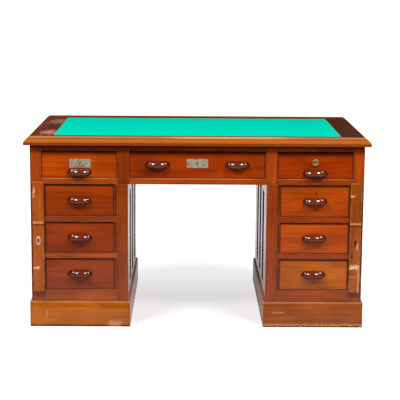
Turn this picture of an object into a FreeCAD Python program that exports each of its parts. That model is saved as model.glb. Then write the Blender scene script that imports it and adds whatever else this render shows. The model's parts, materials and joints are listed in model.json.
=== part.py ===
import FreeCAD, Part
import math
import os

# A pedestal writing desk for two, in mahogany with a baize top. Millimetres.
# X runs from the sitter's left to right, -Y is the front, Z is up, and the origin is on the floor
# under the middle of the desk.

# Whole desk
HEIGHT = 777.0
BODY_WIDTH = 1344.0
BODY_DEPTH = 806.0
KNEEHOLE = 558.6
HALF_W = BODY_WIDTH / 2
HALF_D = BODY_DEPTH / 2
HALF_KNEE = KNEEHOLE / 2

# Levels above the floor
PLINTH_TOP = 106.0
BOTTOM_RAIL_TOP = 156.0
PEDESTAL_TOP = 590.0
FRIEZE_RAIL_TOP = 614.0
FRIEZE_OPENING_TOP = 726.0
TOP_UNDERSIDE = 749.0

# Top
OVERHANG = 23.5
BORDER_WIDTH = 110.0
BAIZE_THICK = 1.2
BAIZE_GAP = 1.0
LIP_HEIGHT = 10.5
OVOLO_WIDTH = 16.0
OVOLO_BULGE = 2.6
QUIRK_DEPTH = 3.5
QUIRK_WIDTH = 2.0

# Boards
FRAME_THICK = 22.0
SIDE_THICK = 22.0
PARTITION_THICK = 20.0
DIVIDER_THICK = 18.0
CARCASE_THICK = 14.0
RAIL_HEIGHT = 22.5
OUTER_STILE = 44.5
FRIEZE_INNER_STILE = (274.0, 321.5)
PEDESTAL_STILE = 44.0
CHEEK_WIDTH = 12.0
CHEEK_RECESS = 1.5
PLINTH_PROUD = 7.4
PLINTH_THICK = 25.0

# Panelled pedestal sides
PANELS_PER_SIDE = 3
PANEL_PITCH = 200.0
PANEL_WIDTH = 104.0
PANEL_BOTTOM = 150.0
PANEL_TOP = 533.0
PANEL_THICK = 8.0
PANEL_RECESS = 9.0
PANEL_BEAD_WIDTH = 10.0
PANEL_BEAD_HEIGHT = 7.0

# Drawers
DRAWER_RECESS = 2.5
DRAWER_PITCH = 151.0
DRAWER_GAP = 1.0
DRAWER_TOP_GAP = 2.2
UPPER_DRAWER_TOP_GAP = 3.0
RUN_GAP = 0.5
DRAWER_FRONT_THICK = 20.0
DRAWER_SIDE_THICK = 12.0
DRAWER_BACK_THICK = 12.0
DRAWER_BOTTOM_THICK = 7.0
DRAWER_BOTTOM_RISE = 8.0
DRAWER_BACK_DROP = 6.0
DRAWER_LENGTH = 383.0
PEDESTAL_BOX_HEIGHT = 112.0
FRIEZE_BOX_HEIGHT = 100.0
PEDESTAL_TAILS = 3
FRIEZE_TAILS = 2
TAIL_LENGTH = 15.0
TAIL_NECK = 20.0
TAIL_FLARE = 3.0
RUNNER_THICK = 20.0
RUNNER_BEARING = 12.0
GUIDE_HEIGHT = 24.0
GUIDE_SETBACK = 0.1

# Cup pulls, measured from the middle of each
PULL_WIDTH = 100.0
PULL_REACH = 30.0
PULL_HEIGHT = 30.0
PULL_BELLY = 3.0
PULL_TOP_WIDTH = 76.0
PULL_TOP_REACH = 17.0
PULL_ROLL_REACH = 25.0
PULL_ROLL_Z = 9.0
PULL_ROLL_END = -1.0
PULL_FOOT_WIDTH = 64.0
PULL_FOOT_REACH = 19.0
PULL_HOLLOW_WIDTH = 56.0
PULL_HOLLOW_REACH = 16.0
PULL_HOLLOW_TOP = 5.0
CENTRE_PULL_X = 161.0
FRIEZE_PULL_Z = 637.0

# Locks
PLATE_WIDTH = 85.0
PLATE_HEIGHT = 36.0
PLATE_THICK = 1.5
LEFT_PLATE = (-471.0, 673.5)
CENTRE_PLATE = (0.0, 676.0)
CYLINDER = (474.0, 682.0)
CYLINDER_RADIUS = 14.0
CYLINDER_PROUD = 4.0
KEYWAY = (2.0, 10.0)
KEYWAY_DEPTH = 2.8
KEYHOLE_RADIUS = 3.0
KEYHOLE_SLOT = 3.0
KEYHOLE_DROP = 10.0
PLUG_RADIUS = 7.0
PLUG_Z = 558.0

# Locking flaps
FLAP_WIDTH = 44.0
FLAP_INSET = 9.0
FLAP_BOTTOM = 145.0
FLAP_TOP = 599.0
FLAP_THICK = 13.5
FLAP_GAP = 0.5
FLAP_ARRIS = 2.0
FLAP_KEYHOLE_Z = 363.0
ESCUTCHEON_WIDTH = 21.0
ESCUTCHEON_HEIGHT = 36.0
ESCUTCHEON_END_RADIUS = 7.5

# Hinges
KNUCKLE_HALF = 2.2
KNUCKLE_LENGTH = 12.0
KNUCKLE_GAP = 0.3
PIN_SETBACK = 3.5
PIN_RADIUS = 1.3
PIN_CLEARANCE = 0.06
FLAP_HINGE_LEVELS = (205.0, 540.0)
DOOR_HINGE_LEVELS = (215.0, 530.0)

# Cupboard doors at the rear
DOOR_GAP = 1.0
DOOR_STILE = 58.0
DOOR_RAIL = 64.0
DOOR_PANEL_RECESS = 7.0
SHELF_Z = 348.0
SHELF_THICK = 15.0
KNOB_RADIUS = 14.0
KNOB_NECK_RADIUS = 7.0
KNOB_NECK = 11.0
KNOB_REACH = 26.0
KNOB_INSET = 29.0

# Worked out from the dimensions above
FRONT = -HALF_D
FRAME_BACK = FRONT + FRAME_THICK
BOX_INNER = HALF_KNEE + SIDE_THICK
BOX_OUTER = HALF_W - SIDE_THICK
OPENING_INNER = HALF_KNEE + PEDESTAL_STILE + CHEEK_WIDTH
OPENING_OUTER = HALF_W - PEDESTAL_STILE - CHEEK_WIDTH
FRIEZE_OPENING = FRIEZE_OPENING_TOP - FRIEZE_RAIL_TOP
FRIEZE_OUTER_STILE = (HALF_W - OUTER_STILE, HALF_W)
FRIEZE_PARTITION = sum(FRIEZE_INNER_STILE) / 2
DIVIDER = (-DIVIDER_THICK / 2, DIVIDER_THICK / 2)
NAMES = {-1: "left", 1: "right"}
LEVELS = ("lower", "middle", "upper")


def vec(x, y, z):
    return FreeCAD.Vector(x, y, z)


def block(x, y, z):
    """A board between the two ends of each range, in either order."""
    low = [min(r) for r in (x, y, z)]
    size = [abs(r[1] - r[0]) for r in (x, y, z)]
    return Part.makeBox(*size, vec(*low))


def times(factor, span):
    return (factor * span[0], factor * span[1])


def turned(shape, degrees, axis=(0, 0, 1), centre=(0, 0, 0)):
    copy = shape.copy()
    copy.rotate(vec(*centre), vec(*axis), degrees)
    return copy


def moved(shape, x, y, z):
    copy = shape.copy()
    copy.translate(vec(x, y, z))
    return copy


def outline(start, *steps):
    """A closed face in the XZ plane. A step is a point, or the middle and end of an arc."""
    edges = []
    here = start
    for step in steps + (start,):
        if isinstance(step[0], tuple):
            middle, end = (vec(p[0], 0, p[1]) for p in step)
            edges.append(Part.Arc(vec(here[0], 0, here[1]), middle, end).toShape())
            here = step[1]
        elif step != here:
            edges.append(Part.makeLine(vec(here[0], 0, here[1]), vec(step[0], 0, step[1])))
            here = step
    return Part.Face(Part.Wire(edges))


def mitred_frame(x, y, width, section):
    """Four lengths of a moulding, mitred round a rectangle. The section lies in XZ with X inwards."""
    lengths = (x[1] - x[0], y[1] - y[0], x[1] - x[0], y[1] - y[0])
    depths = (y[1] - y[0], x[1] - x[0], y[1] - y[0], x[1] - x[0])
    centre = ((x[0] + x[1]) / 2, (y[0] + y[1]) / 2)
    pieces = []
    for n in range(4):
        half = lengths[n] / 2
        edge = -depths[n] / 2
        bar = turned(section, 90)
        bar = moved(bar, -half, edge, 0).extrude(vec(2 * half, 0, 0))
        corners = [(-half, edge), (half, edge)]
        corners += [(half - width, edge + width), (width - half, edge + width)]
        plan = Part.makePolygon([vec(a, b, -HEIGHT) for a, b in corners + corners[:1]])
        bar = bar.common(Part.Face(plan).extrude(vec(0, 0, 3 * HEIGHT)))
        pieces.append(moved(turned(bar, 90 * n), centre[0], centre[1], 0))
    return pieces


def keyhole(x, z, y, depth):
    """The cutter for a keyhole: a round eye over a straight slot, run in from the face at y."""
    eye = Part.makeCylinder(KEYHOLE_RADIUS, depth, vec(x, y, z), vec(0, 1, 0))
    slot = block((x - KEYHOLE_SLOT / 2, x + KEYHOLE_SLOT / 2), (y, y + depth), (z - KEYHOLE_DROP, z))
    return eye.fuse(slot)


def save(name, pieces):
    """Writes one named part as a STEP file holding its separate solids."""
    solids = [solid for piece in pieces for solid in piece.Solids]
    for solid in solids:
        if not solid.isValid():
            raise ValueError(name + " has a bad solid")
    Part.makeCompound(solids).exportStep("parts/" + name + ".step")


# ---------------------------------------------------------------- top


def top_section():
    """The top's edge, from below: a square lip, an ovolo, a sunk quirk and the flat field."""
    lip_z = TOP_UNDERSIDE + LIP_HEIGHT
    quirk_z = HEIGHT - QUIRK_DEPTH
    rise = quirk_z - lip_z
    chord = math.hypot(OVOLO_WIDTH, rise)
    crown = (
        OVOLO_WIDTH / 2 - OVOLO_BULGE * rise / chord,
        lip_z + rise / 2 + OVOLO_BULGE * OVOLO_WIDTH / chord,
    )
    quirk_x = OVOLO_WIDTH + QUIRK_WIDTH
    return outline(
        (BORDER_WIDTH, TOP_UNDERSIDE),
        (0.0, TOP_UNDERSIDE),
        (0.0, lip_z),
        (crown, (OVOLO_WIDTH, quirk_z)),
        (quirk_x, quirk_z),
        (quirk_x, HEIGHT),
        (BORDER_WIDTH, HEIGHT),
    )


def make_top():
    half_x = HALF_W + OVERHANG
    half_y = HALF_D + OVERHANG
    save("top_border", mitred_frame((-half_x, half_x), (-half_y, half_y), BORDER_WIDTH, top_section()))
    field_x = half_x - BORDER_WIDTH
    field_y = half_y - BORDER_WIDTH
    panel_top = HEIGHT - BAIZE_THICK
    save("top_panel", [block((-field_x, field_x), (-field_y, field_y), (TOP_UNDERSIDE, panel_top))])
    cloth_x = field_x - BAIZE_GAP
    cloth_y = field_y - BAIZE_GAP
    save("writing_surface", [block((-cloth_x, cloth_x), (-cloth_y, cloth_y), (panel_top, HEIGHT))])


# ---------------------------------------------------------------- frieze


def frieze_frame(face):
    """Four stiles with a rail above and below each of the three drawer openings."""
    depth = times(face, (HALF_D - FRAME_THICK, HALF_D))
    pieces = []
    for side in (-1, 1):
        for stile in (FRIEZE_OUTER_STILE, FRIEZE_INNER_STILE):
            pieces.append(block(times(side, stile), depth, (PEDESTAL_TOP, TOP_UNDERSIDE)))
    spans = [(-FRIEZE_INNER_STILE[0], FRIEZE_INNER_STILE[0])]
    spans += [times(side, (FRIEZE_INNER_STILE[1], FRIEZE_OUTER_STILE[0])) for side in (-1, 1)]
    for span in spans:
        pieces.append(block(span, depth, (PEDESTAL_TOP, FRIEZE_RAIL_TOP)))
        pieces.append(block(span, depth, (FRIEZE_OPENING_TOP, TOP_UNDERSIDE)))
    return pieces


def make_frieze():
    save("frieze_front_frame", frieze_frame(-1))
    save("frieze_rear_frame", frieze_frame(1))
    inside = (FRAME_BACK, -FRAME_BACK)
    height = (PEDESTAL_TOP, TOP_UNDERSIDE)
    save("frieze_ends", [block(times(side, (BOX_OUTER, HALF_W)), inside, height) for side in (-1, 1)])
    near = FRIEZE_PARTITION - PARTITION_THICK / 2
    far = FRIEZE_PARTITION + PARTITION_THICK / 2
    partitions = [block((-near, near), DIVIDER, height)]
    for side in (-1, 1):
        partitions.append(block(times(side, (near, far)), inside, height))
        partitions.append(block(times(side, (far, BOX_OUTER)), DIVIDER, height))
    save("frieze_partitions", partitions)


# ---------------------------------------------------------------- pedestals


def drawer_floor(level):
    """The height of the rail that a pedestal drawer runs on."""
    return BOTTOM_RAIL_TOP + level * DRAWER_PITCH


def drawer_ceiling(level):
    """The height of the rail above a pedestal drawer. The upper one runs up to the frieze."""
    return PEDESTAL_TOP if level == 2 else drawer_floor(level + 1) - RAIL_HEIGHT


def front_frame(side):
    """Stiles, rails between them, and a narrow cheek at each end of every drawer."""
    depth = (FRONT, FRAME_BACK)
    inner_stile = (HALF_KNEE, HALF_KNEE + PEDESTAL_STILE)
    outer_stile = (HALF_W - PEDESTAL_STILE, HALF_W)
    pieces = [block(times(side, s), depth, (PLINTH_TOP, PEDESTAL_TOP)) for s in (inner_stile, outer_stile)]
    between = times(side, (inner_stile[1], outer_stile[0]))
    pieces.append(block(between, depth, (PLINTH_TOP, BOTTOM_RAIL_TOP)))
    for level in range(3):
        low = drawer_floor(level)
        high = drawer_ceiling(level)
        if level < 2:
            pieces.append(block(between, depth, (high, high + RAIL_HEIGHT)))
        for cheek in ((inner_stile[1], OPENING_INNER), (OPENING_OUTER, outer_stile[0])):
            pieces.append(block(times(side, cheek), (FRONT + CHEEK_RECESS, FRAME_BACK), (low, high)))
    return pieces


def rear_frame(side):
    """Two stiles and a bottom rail round the cupboard door."""
    depth = (-FRAME_BACK, HALF_D)
    inner_stile = (HALF_KNEE, HALF_KNEE + PEDESTAL_STILE)
    outer_stile = (HALF_W - PEDESTAL_STILE, HALF_W)
    pieces = [block(times(side, s), depth, (PLINTH_TOP, PEDESTAL_TOP)) for s in (inner_stile, outer_stile)]
    pieces.append(block(times(side, (inner_stile[1], outer_stile[0])), depth, (PLINTH_TOP, BOTTOM_RAIL_TOP)))
    return pieces


def panel_centres():
    first = -(PANELS_PER_SIDE - 1) / 2 * PANEL_PITCH
    return [first + n * PANEL_PITCH for n in range(PANELS_PER_SIDE)]


def framed_side(x):
    """One side of a pedestal: outer stiles, top and bottom rails, and muntins between the panels."""
    edges = [FRAME_BACK]
    for centre in panel_centres():
        edges += [centre - PANEL_WIDTH / 2, centre + PANEL_WIDTH / 2]
    edges.append(-FRAME_BACK)
    uprights = list(zip(edges[0::2], edges[1::2]))
    pieces = []
    for span in (uprights[0], uprights[-1]):
        pieces.append(block(x, span, (PLINTH_TOP, PEDESTAL_TOP)))
    for span in uprights[1:-1]:
        pieces.append(block(x, span, (PANEL_BOTTOM, PANEL_TOP)))
    rail = (edges[1], edges[-2])
    pieces.append(block(x, rail, (PLINTH_TOP, PANEL_BOTTOM)))
    pieces.append(block(x, rail, (PANEL_TOP, PEDESTAL_TOP)))
    return pieces


def sunk_panel(x_face, outward):
    """The panels of one side, each a thin board with a mitred, bevelled bead round it.

    They are drawn flat, with Z out of the face, and stood up against the side."""
    bead = outline((0, 0), (0, PANEL_BEAD_HEIGHT), (PANEL_BEAD_WIDTH, 0))
    half = PANEL_WIDTH / 2
    pieces = []
    for centre in panel_centres():
        flat = mitred_frame((-half, half), (PANEL_BOTTOM, PANEL_TOP), PANEL_BEAD_WIDTH, bead)
        flat.append(block((-half, half), (PANEL_BOTTOM, PANEL_TOP), (-PANEL_THICK, 0)))
        for piece in flat:
            upright = turned(turned(piece, 90, (1, 0, 0)), 90 * outward)
            pieces.append(moved(upright, x_face - outward * PANEL_RECESS, centre, 0))
    return pieces


def plinth(side):
    section = outline((0, 0), (0, PLINTH_TOP), (PLINTH_THICK, PLINTH_TOP), (PLINTH_THICK, 0))
    x = sorted(times(side, (HALF_KNEE - PLINTH_PROUD, HALF_W + PLINTH_PROUD)))
    y = (FRONT - PLINTH_PROUD, HALF_D + PLINTH_PROUD)
    return mitred_frame(x, y, PLINTH_THICK, section)


def carcase(side):
    """The boards inside a pedestal: floor, top, the back-to-back divider and the cupboard shelf."""
    x = times(side, (BOX_INNER, BOX_OUTER))
    floor = (PLINTH_TOP, PLINTH_TOP + CARCASE_THICK)
    ceiling = (PEDESTAL_TOP - CARCASE_THICK, PEDESTAL_TOP)
    lead = FRAME_BACK + DRAWER_RECESS + RUN_GAP
    door_back = -FRAME_BACK - DRAWER_RECESS
    return [
        block(x, (FRAME_BACK, -FRAME_BACK), floor),
        block(x, (lead, door_back), ceiling),
        block(x, DIVIDER, (floor[1], ceiling[0])),
        block(x, (DIVIDER[1], door_back), (SHELF_Z, SHELF_Z + SHELF_THICK)),
    ]


def run(wall, edge, floor, y):
    """A runner under one drawer side and the guide beside it. wall and edge are X of the two sides."""
    inwards = 1 if edge > wall else -1
    under = edge + inwards * RUNNER_BEARING
    guide_face = edge - inwards * GUIDE_SETBACK
    return [
        block((wall, under), y, (floor - RUNNER_THICK, floor)),
        block((wall, guide_face), y, (floor, floor + GUIDE_HEIGHT)),
    ]


def make_pedestals():
    panels = []
    rear = []
    plinths = []
    for side in (-1, 1):
        name = "pedestal_" + NAMES[side]
        save(name + "_front_frame", front_frame(side))
        rear += rear_frame(side)
        plinths += plinth(side)
        faces = (side * HALF_KNEE, side * HALF_W)
        outwards = (-side, side)
        walls = []
        for face, outward in zip(faces, outwards):
            walls += framed_side((face, face - outward * SIDE_THICK))
            panels += sunk_panel(face, outward)
        save(name + "_sides", walls)
        save(name + "_carcase", carcase(side))
    save("pedestal_rear_frames", rear)
    save("side_panels", panels)
    save("plinths", plinths)


def make_runners():
    """Runners and guides for every drawer, front and rear."""
    pieces = []
    front_run = (FRAME_BACK, DIVIDER[0])
    rear_run = (DIVIDER[1], -FRAME_BACK)
    near = FRIEZE_PARTITION - PARTITION_THICK / 2
    far = FRIEZE_PARTITION + PARTITION_THICK / 2
    for side in (-1, 1):
        for level in range(3):
            for wall, edge in ((BOX_INNER, OPENING_INNER), (BOX_OUTER, OPENING_OUTER)):
                pieces += run(side * wall, side * edge, drawer_floor(level), front_run)
        for y in (front_run, rear_run):
            for wall, edge in (
                (near, FRIEZE_INNER_STILE[0]),
                (far, FRIEZE_INNER_STILE[1]),
                (BOX_OUTER, FRIEZE_OUTER_STILE[0]),
            ):
                pieces += run(side * wall, side * edge, FRIEZE_RAIL_TOP, y)
    save("drawer_runners", pieces)


# ---------------------------------------------------------------- drawers


def cup_pull():
    """A cup pull: a turned roll with sloping ends, whose plan is a segment of a circle.

    Its top rolls over to the front, its foot slopes back, and it is hollow below for the fingers.
    The drawer's face is y = 0 and the pull's middle is the origin."""
    radius = (PULL_WIDTH**2 / 4 + PULL_REACH**2) / (2 * PULL_REACH)
    top = PULL_HEIGHT / 2
    belly = PULL_WIDTH / 2
    plan = Part.makeCylinder(radius, PULL_HEIGHT, vec(0, radius - PULL_REACH, -top))
    section = outline(
        (0, top),
        (-PULL_TOP_REACH, top),
        ((-PULL_ROLL_REACH, PULL_ROLL_Z), (-PULL_REACH, PULL_ROLL_END)),
        (-PULL_REACH, -PULL_BELLY),
        (-PULL_FOOT_REACH, -top),
        (0, -top),
    )
    roll = moved(turned(section, 90), -belly, 0, 0).extrude(vec(PULL_WIDTH, 0, 0))
    upper = [(-PULL_TOP_WIDTH / 2, top), (PULL_TOP_WIDTH / 2, top), (belly, PULL_BELLY)]
    lower = [(belly, -PULL_BELLY), (PULL_FOOT_WIDTH / 2, -top), (-PULL_FOOT_WIDTH / 2, -top)]
    ends = outline(*upper, *lower, (-belly, -PULL_BELLY), (-belly, PULL_BELLY))
    ends = moved(ends, 0, -PULL_WIDTH, 0).extrude(vec(0, PULL_WIDTH, 0))
    half_hollow = PULL_HOLLOW_WIDTH / 2
    hollow = block((-half_hollow, half_hollow), (-PULL_HOLLOW_REACH, PULL_REACH), (-top, PULL_HOLLOW_TOP))
    return plan.common(roll).common(ends).cut(hollow).removeSplitter()


def tails(side_x, height, count):
    """The dovetail tails on the front end of a drawer side, wider at their ends."""
    step = height / count
    neck_y = DRAWER_FRONT_THICK
    end_y = DRAWER_FRONT_THICK - TAIL_LENGTH
    pieces = []
    for n in range(count):
        middle = RUN_GAP + (n + 0.5) * step
        neck = TAIL_NECK / 2
        end = neck + TAIL_FLARE
        corners = [(neck_y, middle - neck), (neck_y, middle + neck)]
        corners += [(end_y, middle + end), (end_y, middle - end)]
        plan = Part.makePolygon([vec(side_x[0], y, z) for y, z in corners + corners[:1]])
        pieces.append(Part.Face(plan).extrude(vec(side_x[1] - side_x[0], 0, 0)))
    return pieces


def drawer_pieces(width, height, box_height, tail_count):
    """The front, whose top is at height, and the box behind it, of a drawer for an opening this wide.

    The front's face is y = 0, the drawer runs back along +Y, and z = 0 is what it runs on."""
    half = width / 2 - DRAWER_GAP
    front = block((-half, half), (0, DRAWER_FRONT_THICK), (RUN_GAP, height))
    top = RUN_GAP + box_height
    box = []
    for side in (-1, 1):
        x = (side * half, side * (half - DRAWER_SIDE_THICK))
        wall = block(x, (DRAWER_FRONT_THICK, DRAWER_LENGTH), (RUN_GAP, top))
        for tail in tails(x, box_height, tail_count):
            front = front.cut(tail)
            wall = wall.fuse(tail)
        box.append(wall.removeSplitter())
    inner = (-half + DRAWER_SIDE_THICK, half - DRAWER_SIDE_THICK)
    back_y = DRAWER_LENGTH - DRAWER_BACK_THICK
    base = RUN_GAP + DRAWER_BOTTOM_RISE
    box.append(block(inner, (back_y, DRAWER_LENGTH), (base + DRAWER_BOTTOM_THICK, top - DRAWER_BACK_DROP)))
    box.append(block(inner, (DRAWER_FRONT_THICK, DRAWER_LENGTH), (base, base + DRAWER_BOTTOM_THICK)))
    return front, box


def in_desk(shape, x, z, face=-1):
    """Puts a piece drawn with its face at y = 0 into the front, or the rear, of the desk."""
    placed = shape if face < 0 else turned(shape, 180)
    return moved(placed, x, -face * (FRONT + DRAWER_RECESS), z)


def make_drawer(name, x, z, size, box, pulls):
    """Saves a front drawer. size is its opening's width and its front's height.

    box is the height of its box and the number of tails on each side."""
    front, boards = drawer_pieces(*size, *box)
    pieces = [in_desk(front, x, z)]
    if name == "right_drawer_upper":
        plug_end = vec(x, FRONT + DRAWER_RECESS, PLUG_Z)
        plug = Part.makeCylinder(PLUG_RADIUS, DRAWER_FRONT_THICK / 2, plug_end, vec(0, 1, 0))
        pieces = [pieces[0].cut(plug), plug]
    save(name + "_front", pieces)
    save(name + "_box", [in_desk(board, x, z) for board in boards])
    save(name + "_pull", [in_desk(cup_pull(), pull_x, pull_z) for pull_x, pull_z in pulls])


def make_drawers():
    frieze_middle = FRIEZE_RAIL_TOP + FRIEZE_OPENING / 2
    frieze_front = FRIEZE_OPENING - DRAWER_TOP_GAP
    centre_size = (2 * FRIEZE_INNER_STILE[0], frieze_front)
    side_size = (FRIEZE_OUTER_STILE[0] - FRIEZE_INNER_STILE[1], frieze_front)
    side_x = (FRIEZE_OUTER_STILE[0] + FRIEZE_INNER_STILE[1]) / 2
    pedestal_width = OPENING_OUTER - OPENING_INNER
    pedestal_x = (OPENING_OUTER + OPENING_INNER) / 2
    twin = [(-CENTRE_PULL_X, frieze_middle), (CENTRE_PULL_X, frieze_middle)]
    frieze_box = (FRIEZE_BOX_HEIGHT, FRIEZE_TAILS)
    pedestal_box = (PEDESTAL_BOX_HEIGHT, PEDESTAL_TAILS)
    make_drawer("frieze_drawer_centre", 0, FRIEZE_RAIL_TOP, centre_size, frieze_box, twin)
    for side in (-1, 1):
        x = side * side_x
        name = "frieze_drawer_" + NAMES[side]
        make_drawer(name, x, FRIEZE_RAIL_TOP, side_size, frieze_box, [(x, FRIEZE_PULL_Z)])
        x = side * pedestal_x
        for level in range(3):
            name = NAMES[side] + "_drawer_" + LEVELS[level]
            floor = drawer_floor(level)
            top_gap = UPPER_DRAWER_TOP_GAP if level == 2 else DRAWER_TOP_GAP
            size = (pedestal_width, drawer_ceiling(level) - floor - top_gap)
            make_drawer(name, x, floor, size, pedestal_box, [(x, floor + size[1] / 2)])
    for side, name in ((-1, "left"), (0, "centre"), (1, "right")):
        x = side * side_x
        front, boards = drawer_pieces(*(side_size if side else centre_size), *frieze_box)
        pieces = [in_desk(piece, x, FRIEZE_RAIL_TOP, 1) for piece in [front] + boards]
        for offset in (0,) if side else (-CENTRE_PULL_X, CENTRE_PULL_X):
            pieces.append(in_desk(cup_pull(), x + offset, frieze_middle, 1))
        save("rear_drawer_" + name, pieces)


def make_locks():
    face = FRONT + DRAWER_RECESS
    plate_face = face - PLATE_THICK
    for name, (x, z) in (("lock_plate_left", LEFT_PLATE), ("lock_plate_centre", CENTRE_PLATE)):
        half_x = PLATE_WIDTH / 2
        half_z = PLATE_HEIGHT / 2
        plate = block((x - half_x, x + half_x), (plate_face, face), (z - half_z, z + half_z))
        save(name, [plate.cut(keyhole(x, z + KEYHOLE_RADIUS, plate_face, PLATE_THICK))])
    x, z = CYLINDER
    barrel = Part.makeCylinder(CYLINDER_RADIUS, CYLINDER_PROUD, vec(x, face, z), vec(0, -1, 0))
    half_width, half_height = KEYWAY[0] / 2, KEYWAY[1] / 2
    depth = (face - CYLINDER_PROUD, face - CYLINDER_PROUD + KEYWAY_DEPTH)
    keyway = block((x - half_width, x + half_width), depth, (z - half_height, z + half_height))
    save("lock_cylinder_right", [barrel.cut(keyway)])


# ---------------------------------------------------------------- flaps and doors


def hinge(pivot, level, fixed_foot, moving_foot):
    """Two fixed knuckles on a round pin with one moving knuckle between them, all square outside.

    A foot ties each knuckle to its board."""
    x, y = pivot
    across = (x - KNUCKLE_HALF, x + KNUCKLE_HALF)
    through = (y - KNUCKLE_HALF, y + KNUCKLE_HALF)
    low = level - 1.5 * KNUCKLE_LENGTH
    middle = (low + KNUCKLE_LENGTH + KNUCKLE_GAP, low + 2 * KNUCKLE_LENGTH - KNUCKLE_GAP)
    fixed = Part.makeCylinder(PIN_RADIUS, 3 * KNUCKLE_LENGTH, vec(x, y, low))
    for z in (low, low + 2 * KNUCKLE_LENGTH):
        height = (z, z + KNUCKLE_LENGTH)
        fixed = fixed.fuse([block(across, through, height), block(*fixed_foot, height)])
    length = middle[1] - middle[0]
    bore = Part.makeCylinder(PIN_RADIUS + PIN_CLEARANCE, length, vec(x, y, middle[0]))
    moving = block(across, through, middle).fuse(block(*moving_foot, middle)).cut(bore)
    return fixed.removeSplitter(), moving.removeSplitter()


def flap_board(side):
    """A locking flap: an upright board over the outer stile, with both front arrises eased off."""
    outer = HALF_W - FLAP_INSET
    inner = outer - FLAP_WIDTH
    back = FRONT - FLAP_GAP
    face = back - FLAP_THICK
    section = outline(
        (inner, back),
        (inner, face + FLAP_ARRIS),
        (inner + FLAP_ARRIS, face),
        (outer - FLAP_ARRIS, face),
        (outer, face + FLAP_ARRIS),
        (outer, back),
    )
    plan = moved(turned(section, -90, (1, 0, 0)), 0, 0, FLAP_BOTTOM)
    board = plan.extrude(vec(0, 0, FLAP_TOP - FLAP_BOTTOM))
    middle = (inner + outer) / 2
    board = board.cut(keyhole(middle, FLAP_KEYHOLE_Z, face, FLAP_THICK))
    if side < 0:
        board = board.mirror(vec(0, 0, 0), vec(1, 0, 0))
    return board, side * middle, face


def escutcheon():
    """An upright oval plate drawn with four arcs that run into each other."""
    half_width = ESCUTCHEON_WIDTH / 2
    end_z = ESCUTCHEON_HEIGHT / 2 - ESCUTCHEON_END_RADIUS
    spare = half_width - ESCUTCHEON_END_RADIUS
    centre_x = (end_z**2 - spare**2) / (2 * spare)
    stretch = ESCUTCHEON_END_RADIUS / math.hypot(centre_x, end_z)
    x, z = stretch * centre_x, end_z + stretch * end_z
    oval = outline(
        (x, z),
        ((0, ESCUTCHEON_HEIGHT / 2), (-x, z)),
        ((-half_width, 0), (-x, -z)),
        ((0, -ESCUTCHEON_HEIGHT / 2), (x, -z)),
        ((half_width, 0), (x, z)),
    )
    return oval.extrude(vec(0, -PLATE_THICK, 0))


def make_flaps():
    """The two flaps with their hinges. Returns the fixed hinge halves."""
    fixed_halves = []
    pivot_y = FRONT - PIN_SETBACK
    for side in (-1, 1):
        board, middle, face = flap_board(side)
        save("locking_flap_" + NAMES[side], [board])
        edge = side * (HALF_W - FLAP_INSET)
        pivot_x = edge + side * PIN_SETBACK
        knuckle_x = (pivot_x - KNUCKLE_HALF, pivot_x + KNUCKLE_HALF)
        knuckle_y = (pivot_y - KNUCKLE_HALF, pivot_y + KNUCKLE_HALF)
        moving_halves = []
        on_stile = (knuckle_x, (pivot_y, FRONT))
        on_flap = ((edge, pivot_x), knuckle_y)
        for level in FLAP_HINGE_LEVELS:
            fixed, moving = hinge((pivot_x, pivot_y), level, on_stile, on_flap)
            fixed_halves.append(fixed)
            moving_halves.append(moving)
        save("flap_hinge_" + NAMES[side], moving_halves)
        if side < 0:
            plate = moved(escutcheon(), middle, face, FLAP_KEYHOLE_Z - KEYHOLE_RADIUS)
            hole = keyhole(middle, FLAP_KEYHOLE_Z, face - PLATE_THICK, PLATE_THICK)
            save("flap_escutcheon", [plate.cut(hole)])
    return fixed_halves


def door_pieces(x, z, swing):
    """A framed cupboard door with a sunk panel and a turned knob. swing is the hinge side, -1 or 1."""
    y = (-FRAME_BACK, HALF_D)
    stile_in = (x[0] + DOOR_STILE, x[1] - DOOR_STILE)
    rail_in = (z[0] + DOOR_RAIL, z[1] - DOOR_RAIL)
    pieces = [
        block((x[0], stile_in[0]), y, z),
        block((stile_in[1], x[1]), y, z),
        block(stile_in, y, (z[0], rail_in[0])),
        block(stile_in, y, (rail_in[1], z[1])),
        block(stile_in, (y[0] + DOOR_PANEL_RECESS, y[1] - DOOR_PANEL_RECESS), rail_in),
    ]
    knob_x = x[0] + KNOB_INSET if swing > 0 else x[1] - KNOB_INSET
    knob_z = (z[0] + z[1]) / 2
    neck = Part.makeCylinder(KNOB_NECK_RADIUS, KNOB_NECK, vec(knob_x, HALF_D, knob_z), vec(0, 1, 0))
    head_start = vec(knob_x, HALF_D + KNOB_NECK, knob_z)
    head = Part.makeCylinder(KNOB_RADIUS, KNOB_REACH - KNOB_NECK, head_start, vec(0, 1, 0))
    pieces.append(neck.fuse(head))
    return pieces


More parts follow.
